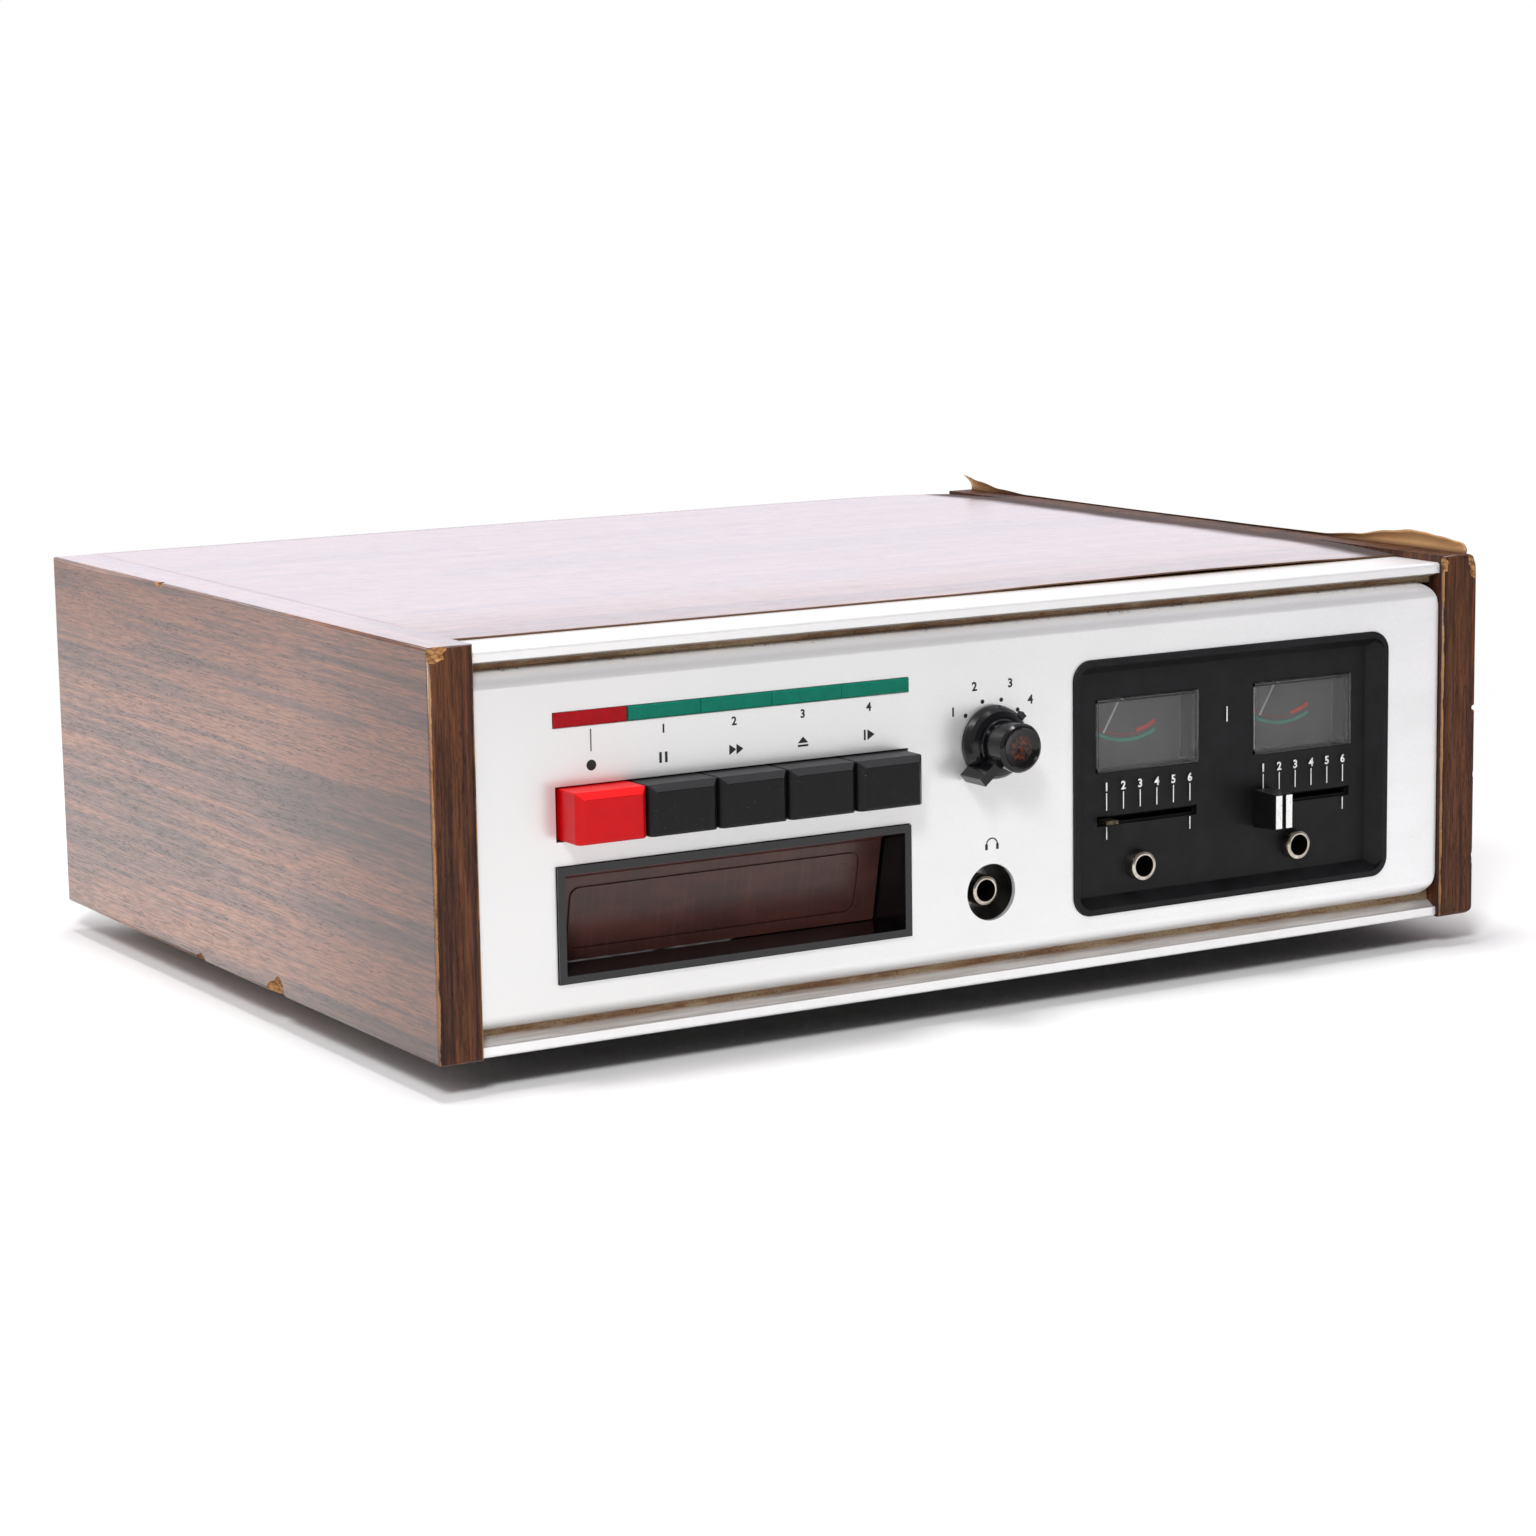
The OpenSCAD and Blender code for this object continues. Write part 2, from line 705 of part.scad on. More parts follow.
module cord_grommet() {
    color("black") cabinet_frame() difference() {
        union() {
            rod_y(grommet_x, grommet_z, 6.1, back_y, back_y + back_t);
            rod_y(grommet_x, grommet_z, 8, back_y + back_t, back_y + back_t + 2.4);
            rod_y(grommet_x, grommet_z, 8, back_y - 2.4, back_y);
        }
        rod_y(grommet_x, grommet_z, 3.2, back_y - 4, back_y + back_t + 4);
    }
}

// Four phono sockets on an insulating strip; their collars fill the panel's holes.
module line_sockets() {
    h = socket_pitch + 12;
    seat = back_y + back_t + 0.6;
    color("tan") cabinet_frame() difference() {
        union() {
            block(socket_x - h / 2, socket_x + h / 2, back_y - 1.6, back_y,
                  socket_z - h / 2, socket_z + h / 2);
            socket_places() {
                rod_y(0, 0, collar_r, back_y - 1, seat);
                rod_y(0, 0, socket_r, seat - eps, seat + socket_l);
            }
        }
        socket_places() rod_y(0, 0, 1.7, back_y, seat + socket_l + 1);
    }
}

// ---- Cartridge slot and door -----------------------------------------------

module slot_frame() {
    color("black") cabinet_frame() difference() {
        union() {
            along_y(face_y - slot_proud, slot_back) translate([deck_x, slot_z])
                square([slot_w, slot_h], center = true);
            along_y(skin_y + fit, skin_y + fit + flange_t) translate([deck_x, slot_z])
                square([slot_w + 6, slot_h + 3], center = true);
        }
        along_y(face_y - slot_proud - 1, slot_back + 1) translate([deck_x, slot_z])
            square([slot_in_w, slot_in_h], center = true);
        translate([deck_x - slot_in_w / 2 - 1.7, door_y, door_z]) rotate([0, 90, 0])
            cylinder(r = door_pin_r + play, h = slot_in_w + 3.4);
    }
}

// Door hung from its top edge; it leans back and swings in over the cartridge.
module cartridge_door() {
    panel_w = 94.4;
    panel_h = 19.2;
    color("maroon") cabinet_frame() translate([deck_x, door_y, door_z])
        rotate([door_tilt, 0, 0]) {
            difference() {
                union() {
                    block(-door_w / 2, door_w / 2, -door_t / 2, door_t / 2, -door_l, 0);
                    translate([-door_w / 2, 0, 0]) rotate([0, 90, 0])
                        cylinder(r = door_barrel_r, h = door_w);
                }
                along_y(-door_t / 2 - 1, -door_t / 2 + 0.5) difference() {
                    translate([0, -door_l / 2 - 0.4]) rounded_rect(panel_w, panel_h, 3.4);
                    translate([0, -door_l / 2 - 0.4])
                        rounded_rect(panel_w - 1.4, panel_h - 1.4, 2.7);
                }
            }
            translate([-slot_in_w / 2 - 1.4, 0, 0]) rotate([0, 90, 0])
                cylinder(r = door_pin_r, h = slot_in_w + 2.8);
        }
}

// Tunnel that carries the cartridge, on two rails above the deck plate.
module cartridge_guide() {
    roof = slot_roof + 0.3;
    color("darkslategray") cabinet_frame() difference() {
        union() {
            block(deck_x - guide_w / 2 - guide_t, deck_x + guide_w / 2 + guide_t,
                  slot_back, guide_back, slot_floor - guide_t, roof + guide_t);
            block(deck_x - slot_w / 2, deck_x + slot_w / 2, slot_back,
                  slot_back + flange_t, slot_z - slot_h / 2, slot_z + slot_h / 2);
            for (side = [-1, 1])
                block(deck_x + side * guide_rail_x - guide_rail_w / 2,
                      deck_x + side * guide_rail_x + guide_rail_w / 2,
                      slot_back + 6, guide_back - 4, deck_top, slot_floor);
        }
        block(deck_x - guide_w / 2, deck_x + guide_w / 2, slot_back - 1, guide_back + 1,
              slot_floor, roof);
        block(deck_x - notch_w / 2, deck_x + notch_w / 2, guide_back - notch_l,
              guide_back + 1, roof - 1, roof + guide_t + 1);
    }
}

// ---- Deck and drive ----------------------------------------------------------

module deck_plate() {
    post_r = 4;
    post_inset = 8;
    post_ys = [slot_back + flange_t + 2 * post_inset + post_r, cam_y + post_r,
               deck_back - post_inset - 2];

    color("lightsteelblue") cabinet_frame() {
        difference() {
            union() {
                block(deck_x - deck_w / 2, deck_x + deck_w / 2, slot_back + 3, deck_back,
                      deck_z, deck_top);
                for (side = [-1, 1], y = post_ys) if (side < 0 || y != post_ys[1])
                    rod_z(deck_x + side * (deck_w / 2 - post_inset), y, post_r, tray_top, deck_z + eps);
            }
            rod_z(deck_x + capstan_x, capstan_y, bearing_r + play,
                  deck_z - 1, deck_top + 1);
            rod_z(deck_x + capstan_x, capstan_y + belt_span, 5, deck_z - 1, deck_top + 1);
        }
        rod_z(deck_x + head_x, capstan_y + 15, 2, deck_top - eps,
              slot_floor + 26.2);
        rod_z(deck_x + cam_x, cam_y, 2, deck_top - eps, cam_top + 4.6);
    }
}

module tape_head() {
    color("silver") cabinet_frame()
        block(deck_x + head_x - 5, deck_x + head_x + 5, guide_back + 2, capstan_y + 5,
              slot_floor + 2.4, slot_floor + 14);
}

// Block that slides up its post and reaches over the cam.
module head_carriage() {
    x = deck_x + head_x;
    z0 = slot_floor + 1;
    color("goldenrod") cabinet_frame() difference() {
        union() {
            block(x - 9, x + 9, capstan_y + 5, capstan_y + 21, z0, z0 + 17);
            block(deck_x + cam_x - 3, x - 8, cam_y - 12, cam_y - 6, z0 + 5, z0 + 8.5);
            rod_z(deck_x + cam_x, cam_y - 9.2, 1.2, cam_top + 0.5, z0 + 5 + eps);
        }
        rod_z(x, capstan_y + 15, 2 + play, z0 - 1, z0 + 18);
    }
}

// Wheel with a ramp of small steps, stacked as ever shorter arcs.
module channel_cam() {
    seg = cam_turn / cam_steps;
    z0 = deck_top + run_gap;
    rise = head_travel / cam_steps;
    color("ivory") cabinet_frame() translate([deck_x + cam_x, cam_y, z0]) difference() {
        union() {
            cylinder(r = cam_r, h = 2.6);
            rotate([0, 0, -90 - cam_turn - seg / 2]) for (i = [0 : cam_steps])
                translate([0, 0, i == 0 ? 0 : cam_top - z0 + (i - 1) * rise])
                    rotate_extrude(angle = (cam_steps - i + 1) * seg)
                        translate([7.6, 0]) square([3.2, i == 0 ? cam_top - z0 : rise]);
        }
        translate([0, 0, -1]) cylinder(r = 2 + play, h = 12);
    }
}

module channel_solenoid() {
    x = deck_x + cam_x;
    y0 = cam_y + cam_r + 12;
    color("steelblue") cabinet_frame() {
        block(x - 11, x + 11, y0, y0 + 26, deck_top, deck_top + 20);
        rod_y(x, deck_top + 9, 3, y0 - 8, y0 + eps);
    }
}

module capstan_bearing() {
    x = deck_x + capstan_x;
    color("goldenrod") cabinet_frame() {
        difference() {
            union() {
                rod_z(x, capstan_y, bearing_r, deck_z - 0.6, deck_top + 7);
                rod_z(x, capstan_y, bearing_r + 1.5, deck_top, deck_top + 1.4);
            }
            rod_z(x, capstan_y, capstan_r + play, deck_z - 1, deck_top + 8);
        }
        rod_z(x, capstan_y, 4, tray_top, tray_top + 0.6);
    }
}

module capstan_shaft() {
    color("lightgray") cabinet_frame()
        rod_z(deck_x + capstan_x, capstan_y, capstan_r, tray_top + 0.9, slot_floor + 24);
}

module flywheel() {
    color("silver") cabinet_frame() translate([deck_x + capstan_x, capstan_y, fly_z])
        rotate_extrude() polygon([
            [capstan_r + play, 0], [9, 0], [9, 1.6], [flywheel_r - 7, 1.6], [flywheel_r - 7, 0],
            [flywheel_r, 0], [flywheel_r, fly_t], [flywheel_r - 7, fly_t],
            [flywheel_r - 7, fly_t - 1.6], [9, fly_t - 1.6], [9, fly_t + 2.6],
            [capstan_r + play, fly_t + 2.6]
        ]);
}

// Outline of a belt run round the flywheel and the pulley, grown by g.
module belt_outline(g) {
    a = asin((flywheel_r - pulley_r) / belt_span);
    r1 = flywheel_r + g;
    r2 = pulley_r + g;
    circle(r = r1);
    translate([0, belt_span]) circle(r = r2);
    polygon([
        [r1 * cos(a), r1 * sin(a)], [r2 * cos(a), belt_span + r2 * sin(a)],
        [-r2 * cos(a), belt_span + r2 * sin(a)], [-r1 * cos(a), r1 * sin(a)]
    ]);
}

module drive_belt() {
    color("black") cabinet_frame()
        translate([deck_x + capstan_x, capstan_y, fly_z + (fly_t - belt_w) / 2])
            linear_extrude(belt_w) difference() {
                belt_outline(run_gap + belt_t);
                belt_outline(run_gap);
            }
}

module motor_pulley() {
    color("gold") cabinet_frame() translate([deck_x + capstan_x, capstan_y + belt_span, 0]) {
        translate([0, 0, fly_z]) cylinder(r = pulley_r, h = fly_t);
        translate([0, 0, fly_z]) cylinder(r = 1.5, h = deck_top + 9.6 - fly_z);
    }
}

module drive_motor() {
    color("silver") cabinet_frame() translate([deck_x + capstan_x, capstan_y + belt_span, 0])
        difference() {
            translate([0, 0, deck_top]) rotate_extrude() polygon([
                [0, 0], [motor_r - 1, 0], [motor_r, 1], [motor_r, motor_h - 1.4],
                [motor_r - 1.4, motor_h], [6, motor_h], [6, motor_h + 2.2], [0, motor_h + 2.2]
            ]);
            translate([0, 0, deck_top - 1]) cylinder(r = 1.5 + play, h = 14);
        }
}

// ---- Keys ------------------------------------------------------------------

// A key: bevelled cap and the stem that runs back through the frame.
module transport_key(index) {
    x = deck_x + (index - 2) * key_pitch;
    cabinet_frame() translate([x, 0, key_z]) {
        bevelled_block(key_pitch - key_gap, key_h, face_y - key_reach, key_back,
                       key_bevel, key_bevel * 0.35);
        block(-stem_w / 2, stem_w / 2, key_back - eps, stem_back, -stem_h / 2, stem_h / 2);
    }
}

module record_key() {
    color("red") transport_key(0);
}

module pause_key() {
    color("darkslategray") transport_key(1);
}

module forward_key() {
    color("darkslategray") transport_key(2);
}

module eject_key() {
    color("darkslategray") transport_key(3);
}

module channel_key() {
    color("darkslategray") transport_key(4);
}

// Folded bracket with windows that guide the stems.
module key_frame() {
    z0 = key_z - stem_h / 2 - 3.4;
    w = 5 * key_pitch + 6;
    t = 1.4;
    color("lightgray") cabinet_frame() difference() {
        union() {
            block(deck_x - w / 2, deck_x + w / 2, sub_back, sub_back + t, z0, z0 + button_h + 4);
            block(deck_x - w / 2, deck_x + w / 2, frame_back - t, frame_back,
                  z0, z0 + button_h + 2);
            block(deck_x - w / 2, deck_x + w / 2, sub_back, frame_back + button_d + 2,
                  z0, z0 + t);
        }
        for (i = [-2 : 2])
            block(deck_x + i * key_pitch - stem_w / 2 - run_gap,
                  deck_x + i * key_pitch + stem_w / 2 + run_gap,
                  sub_back - 1, frame_back + 1,
                  key_z - stem_h / 2 - run_gap, key_z + stem_h / 2 + run_gap);
    }
}

// Row of closed push switches; the keys' return springs are inside them.
module switch_bank() {
    z0 = key_z - stem_h / 2 - 2;
    color("burlywood") cabinet_frame() for (i = [-2 : 2])
        block(deck_x + i * key_pitch - button_w / 2, deck_x + i * key_pitch + button_w / 2,
              stem_back + key_travel + 0.4, frame_back + button_d, z0, z0 + button_h);
}

// ---- Indicators --------------------------------------------------------------

module lens_bar(x0, x1) {
    translate([(x0 + x1) / 2, 0, lens_z]) {
        bevelled_block(x1 - x0, lens_h, face_y - lens_proud, lens_back, 0.4, 0.4);
        block(-(x1 - x0) / 2 + 0.2, (x1 - x0) / 2 - 0.2, skin_y + 0.1, lens_back,
              -lens_h / 2 - 1, lens_h / 2 + 1);
    }
}

module record_lens() {
    x0 = deck_x - lens_w / 2;
    color("crimson") cabinet_frame() lens_bar(x0, x0 + cell_pitch - 0.2);
}

// One green moulding for the four channels, notched between them.
module channel_lens() {
    x0 = deck_x - lens_w / 2;
    color("seagreen") cabinet_frame() difference() {
        lens_bar(x0 + cell_pitch + 0.2, x0 + lens_w);
        for (i = [2 : 4])
            block(x0 + i * cell_pitch - 0.15, x0 + i * cell_pitch + 0.15,
                  face_y - lens_proud - 1, face_y - lens_proud + 0.4,
                  lens_z - lens_h, lens_z + lens_h);
    }
}

// Light box with one cell behind each indicator.
module lamp_housing() {
    h = lamp_box_h;
    color("whitesmoke") cabinet_frame() difference() {
        block(deck_x - lens_w / 2 - 1, deck_x + lens_w / 2 + 1, lens_back, sub_y,
              lens_z - h / 2, lens_z + h / 2);
        for (i = [-2 : 2])
            block(deck_x + i * cell_pitch - cell_pitch / 2 + 0.8,
                  deck_x + i * cell_pitch + cell_pitch / 2 - 0.8,
                  lens_back - 1, sub_y - 1, lens_z - h / 2 + 1, lens_z + h / 2 - 1);
    }
}

module indicator_lamps() {
    color("lightyellow") cabinet_frame() for (i = [-2 : 2])
        translate([deck_x + i * cell_pitch, sub_y - 1, lens_z]) rotate([90, 0, 0])
            rotate_extrude() polygon([
                [0, 0], [1.6, 0], [1.6, 3], [1.1, 4.2], [0, 4.8]
            ]);
}

// ---- Selector ----------------------------------------------------------------

// Skirted knob with a dished face, drawn with its axis along -y.
module knob_turning() {
    rotate_extrude() polygon([
        [shaft_r + play, 0.4], [knob_skirt_r, 0.4], [knob_skirt_r, 1.6],
        [knob_skirt_r - 0.5, 3.4], [knob_skirt_r - 1.4, 4.6], [knob_skirt_r - 2.6, 5.2],
        [knob_r + 0.3, 5.4], [knob_r, 5.8], [knob_r, knob_reach - 2.6],
        [knob_r + 0.15, knob_reach - 2.4], [knob_r + 0.15, knob_reach - 1.1],
        [knob_r - 0.4, knob_reach - 0.3], [knob_r - 1, knob_reach],
        [knob_r - 1.5, knob_reach - 0.4], [knob_r - 3, knob_reach - 1],
        [0, knob_reach - 1.4], [0, knob_reach - 4], [shaft_r + play, knob_reach - 4]
    ]);
}

module selector_knob() {
    color("black") cabinet_frame() translate([knob_x, face_y, knob_z]) rotate([90, 0, 0]) {
        knob_turning();
        rotate([0, 0, pointer_rest]) {
            translate([-lever_r, -lever_w / 2, 1.4])
                cube([lever_r - knob_r + 1.4, lever_w, knob_reach - 5]);
            translate([knob_skirt_r - 3, -0.9, 1.2]) cube([4.2, 1.8, 2.2]);
        }
    }
}

module selector_shaft() {
    color("silver") cabinet_frame()
        rod_y(knob_x, knob_z, shaft_r, face_y - knob_reach + 4.2, sub_back + 10);
}

module selector_switch() {
    color("tan") cabinet_frame() difference() {
        union() {
            rod_y(knob_x, knob_z, switch_r, sub_back, sub_back + 18);
            rod_y(knob_x, knob_z, bush_r, skin_y + 4, sub_back + eps);
        }
        rod_y(knob_x, knob_z, shaft_r + play, skin_y + 3, sub_back + 11);
    }
}

// Hexagonal nuts of the selector and the headphone jack.
module panel_nuts() {
    color("silver") cabinet_frame() {
        panel_nut(knob_x, knob_z, bush_r);
        panel_nut(phone_x, phone_z, jack_d / 2);
    }
}

module panel_nut(x, z, r) {
    difference() {
        translate([x, sub_y, z]) rotate([90, 0, 0]) cylinder(r = r + 2.6, h = 2.2, $fn = 6);
        rod_y(x, z, r + play, sub_y - 3, sub_y + 1);
    }
}

// ---- Jacks -------------------------------------------------------------------

// Quarter-inch jack: bushing with a rounded lip, closed body behind the panel.
module phone_jack(x, z, y_front, y_panel) {
    l = y_panel + eps - y_front;
    difference() {
        union() {
            translate([x, y_panel + eps, z]) rotate([90, 0, 0]) rotate_extrude() polygon([
                [0, 0], [jack_d / 2, 0], [jack_d / 2, l - jack_lip],
                [jack_d / 2 - jack_lip * 0.3, l - jack_lip * 0.3],
                [jack_d / 2 - jack_lip, l], [0, l]
            ]);
            block(x - jack_body_w / 2, x + jack_body_w / 2, y_panel,
                  y_front + jack_depth + 3, z - jack_body_w / 2, z + jack_body_w / 2);
        }
        rod_y(x, z, jack_bore_d / 2, y_front - 1, y_front + jack_depth);
    }
}

module headphone_jack() {
    color("silver") cabinet_frame() phone_jack(phone_x, phone_z, phone_front, sub_back);
}

module mic_jacks() {
    color("silver") cabinet_frame() channel_places()
        phone_jack(-mic_shift, mic_z, mic_front, floor_y + floor_t);
}

// ---- Meters and volume ---------------------------------------------------------

module channel_places() {
    for (side = [-1, 1]) translate([meter_x + side * channel_x, 0, 0]) children();
}

// Recess with drafted walls, from the front rim down to the floor.
module drafted_recess(w, h, y0, y1, draft_x, draft_z) {
    x1 = w / 2;
    z1 = h / 2;
    intersection() {
        along_x(-w, w) polygon([
            [y0 - eps, -z1], [y0 - eps, z1], [y1, z1 - draft_z], [y1, -z1 + draft_z]
        ]);
        translate([0, 0, -h]) linear_extrude(2 * h) polygon([
            [-x1, y0 - eps], [x1, y0 - eps], [x1 - draft_x, y1], [-x1 + draft_x, y1]
        ]);
        along_y(y0 - 1, y1 + 1) rounded_rect(w, h, meter_r - 1.6);
    }
}

module meter_frame() {
    y0 = face_y - meter_proud;
    rim = 1.8;
    color("black") cabinet_frame() difference() {
        along_y(y0, sub_y) translate([meter_x, meter_z]) rounded_rect(meter_w, meter_h, meter_r);
        translate([meter_x, 0, meter_z])
            drafted_recess(meter_w - 2 * rim, meter_h - 2 * rim, y0, floor_y, 3.4, 2.8);
        along_y(floor_y + floor_t, sub_y + 1) translate([meter_x, meter_z])
            rounded_rect(meter_w - 2 * rim, meter_h - 2 * rim, meter_r - rim);
        channel_places() along_y(floor_y - 1, floor_y + floor_t + 1) {
            translate([0, window_z]) square([window_w, window_h], center = true);
            translate([0, volume_z]) square([volume_travel + 6.1, 3], center = true);
            translate([-mic_shift, mic_z]) circle(r = jack_d / 2 + play);
        }
    }
}

// Movement of a meter behind its dial, with a bore for the needle's shaft.
module meter_case(side) {
    x = meter_x + side * channel_x;
    difference() {
        block(x - 20.3, x + 20.3, cover_back, case_back,
              window_z - window_h / 2 - 1.2, pivot_z + 2.2);
        rod_y(x, pivot_z, 0.8 + play, cover_back - 1, cover_back + 9);
    }
}

module left_meter_case() {
    color("gray") cabinet_frame() meter_case(-1);
}

module right_meter_case() {
    color("gray") cabinet_frame() meter_case(1);
}

// Clear cover: the window stands in the frame's floor, the box lies behind it.
module meter_cover(side) {
    x = meter_x + side * channel_x;
    zc = window_z;
    z_low = zc - window_h / 2 - 1.2;
    z_high = pivot_z + 2.2;
    difference() {
        union() {
            block(x - window_w / 2 + fit, x + window_w / 2 - fit, window_y,
                  floor_y + floor_t + 1, zc - window_h / 2 + fit, zc + window_h / 2 - fit);
            block(x - 20.3, x + 20.3, floor_y + floor_t, cover_back, z_low, z_high);
        }
        block(x - window_w / 2 + cover_wall, x + window_w / 2 - cover_wall,
              window_y + cover_wall, cover_back, zc - window_h / 2 + cover_wall,
              zc + window_h / 2 - cover_wall);
        block(x - 20.3 + cover_wall, x + 20.3 - cover_wall,
              floor_y + floor_t + cover_wall, cover_back + 1,
              z_low + cover_wall, z_high - 0.7);
    }
}

module left_meter_cover() {
    color("lightcyan", 0.4) cabinet_frame() meter_cover(-1);
}

module right_meter_cover() {
    color("lightcyan", 0.4) cabinet_frame() meter_cover(1);
}

// Needle hung from its pivot, leaning left at rest.
module meter_needle(side) {
    x = meter_x + side * channel_x;
    translate([x, needle_y, pivot_z]) {
        rotate([0, needle_rest, 0]) along_y(0, 0.5) polygon([
            [-0.25, 0], [0.25, 0], [0.15, -needle_l], [-0.15, -needle_l]
        ]);
        rod_y(0, 0, 1.2, -0.4, 3.8);
        rod_y(0, 0, 0.8, 3, 11);
    }
}

module left_meter_needle() {
    color("white") cabinet_frame() meter_needle(-1);
}

module right_meter_needle() {
    color("white") cabinet_frame() meter_needle(1);
}

// Slide resistors behind the two slots.
module volume_controls() {
    color("tan") cabinet_frame() channel_places() difference() {
        block(-pot_l / 2, pot_l / 2, floor_y + floor_t, pot_back,
              volume_z - pot_h / 2, volume_z + pot_h / 2);
        block(-volume_travel / 2 - 2.6, volume_travel / 2 + 2.6, floor_y, pot_back - 3,
              volume_z - 0.9, volume_z + 0.9);
    }
}

module volume_lever(side) {
    x = meter_x + side * channel_x - volume_travel / 2;
    block(x - lever_l / 2, x + lever_l / 2, lever_front, pot_back - 3.4,
          volume_z - lever_t / 2, volume_z + lever_t / 2);
}

module left_volume_lever() {
    color("silver") cabinet_frame() volume_lever(-1);
}

module right_volume_lever() {
    color("silver") cabinet_frame() volume_lever(1);
}

// Push-on knob that widens to the back, with a groove between two raised bars.
module right_volume_knob() {
    x = meter_x + channel_x - volume_travel / 2;
    w = volume_knob_w / 2;
    h = volume_knob_h / 2;
    d = volume_knob_draft / 2;
    y0 = -volume_knob_reach;
    y1 = floor_y - 0.8;
    color("black") cabinet_frame() translate([x, 0, volume_z]) difference() {
        translate([0, 0, -volume_knob_drop]) intersection() {
            along_x(-w - d, w + d) polygon([[y0, -h], [y1, -h - d], [y1, h + d], [y0, h]]);
            translate([0, 0, -h - d]) linear_extrude(2 * (h + d))
                polygon([[-w, y0], [w, y0], [w + d, y1], [-w - d, y1]]);
        }
        block(-volume_groove / 2, volume_groove / 2, y0 - 1, y0 + 0.8, -2 * h - 3, 2 * h);
        block(-lever_l / 2 - play, lever_l / 2 + play, lever_front - play, floor_y,
              -lever_t / 2 - play, lever_t / 2 + play);
    }
}

// ---- Electronics ---------------------------------------------------------------

module power_transformer() {
    z1 = tray_top + (core_h - coil_h) / 2;
    color("dimgray") cabinet_frame() {
        block(trafo_x - core_w / 2, trafo_x + core_w / 2,
              trafo_y - core_d / 2, trafo_y + core_d / 2, tray_top, tray_top + core_h);
        block(trafo_x - coil_w / 2, trafo_x + coil_w / 2,
              trafo_y - coil_d / 2, trafo_y + coil_d / 2, z1, z1 + coil_h);
    }
}

module main_circuit_board() {
    inset = 6;
    color("darkkhaki") cabinet_frame() {
        block(board_x0, board_x1, board_y0, board_y1, board_z, board_z + board_t);
        for (x = [board_x0 + inset, board_x1 - inset], y = [board_y0 + inset, board_y1 - inset])
            rod_z(x, y, 3, tray_top, board_z + eps);
    }
}

// Row of equal cans that stand on the board.
module can_row(count, x, y, pitch, r, h) {
    for (i = [0 : count - 1]) rod_z(x + pitch * i, y, r, board_z + board_t, board_z + board_t + h);
}

// Square-footed coil cans on the board.
module coil_row(count, x, y, pitch, side, h) {
    for (i = [0 : count - 1])
        translate([x + pitch * i, y, board_z + board_t]) cube([side, side, h]);
}

// Finned heat sink that stands on the board.
module heat_sink(x, y, w, fins, pitch, h) {
    z0 = board_z + board_t;
    fin_t = 1.4;
    block(x, x + w, y, y + pitch * (fins - 1) + fin_t, z0, z0 + 3);
    for (i = [0 : fins - 1]) block(x, x + w, y + pitch * i, y + pitch * i + fin_t, z0, z0 + h);
}

// Power capacitors, coil cans and a heat sink on the board.
module circuit_parts() {
    color("royalblue") cabinet_frame() {
        can_row(3, board_x1 - 2.8 * can_pitch, board_y1 - 2.2 * can_r, can_pitch, can_r, can_h);
        can_row(5, board_x0 + 3.5 * small_can_r, board_y0 + 6 * small_can_r,
                small_can_pitch, small_can_r, small_can_h);
        coil_row(4, board_x0 + coil_side, board_y0 + 3.8 * coil_side, coil_pitch,
                 coil_side, coil_can_h);
        heat_sink(board_x0 + sink_w / 2, board_y1 - 6.5 * sink_pitch, sink_w, 6,
                  sink_pitch, sink_h);
    }
}

// ---- Assembly ------------------------------------------------------------------

left_side_panel();
right_side_panel();
top_panel();
corner_blocks();
lifted_vinyl();
top_rail();
bottom_rail();
front_subpanel();
fascia();
chassis_tray();
back_panel();
rubber_feet();
screws();
cord_grommet();
line_sockets();
slot_frame();
cartridge_door();
cartridge_guide();
deck_plate();
tape_head();
head_carriage();
channel_cam();
channel_solenoid();
capstan_bearing();
capstan_shaft();
flywheel();
drive_belt();
motor_pulley();
drive_motor();
record_key();
pause_key();
forward_key();
eject_key();
channel_key();
key_frame();
switch_bank();
record_lens();
channel_lens();
lamp_housing();
indicator_lamps();
selector_knob();
selector_shaft();
selector_switch();
panel_nuts();
headphone_jack();
meter_frame();
left_meter_case();
right_meter_case();
left_meter_cover();
right_meter_cover();
left_meter_needle();
right_meter_needle();
volume_controls();
left_volume_lever();
right_volume_lever();
right_volume_knob();
mic_jacks();
power_transformer();
main_circuit_board();
circuit_parts();
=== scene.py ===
"""Looks of the eight track player and recorder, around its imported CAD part.

Metres, in the part's own frame: x to the right, y to the back, z up. A length
that reads better in millimetres is written times MM.
"""

import math

import bmesh
import bpy
from mathutils import Matrix, Vector, noise


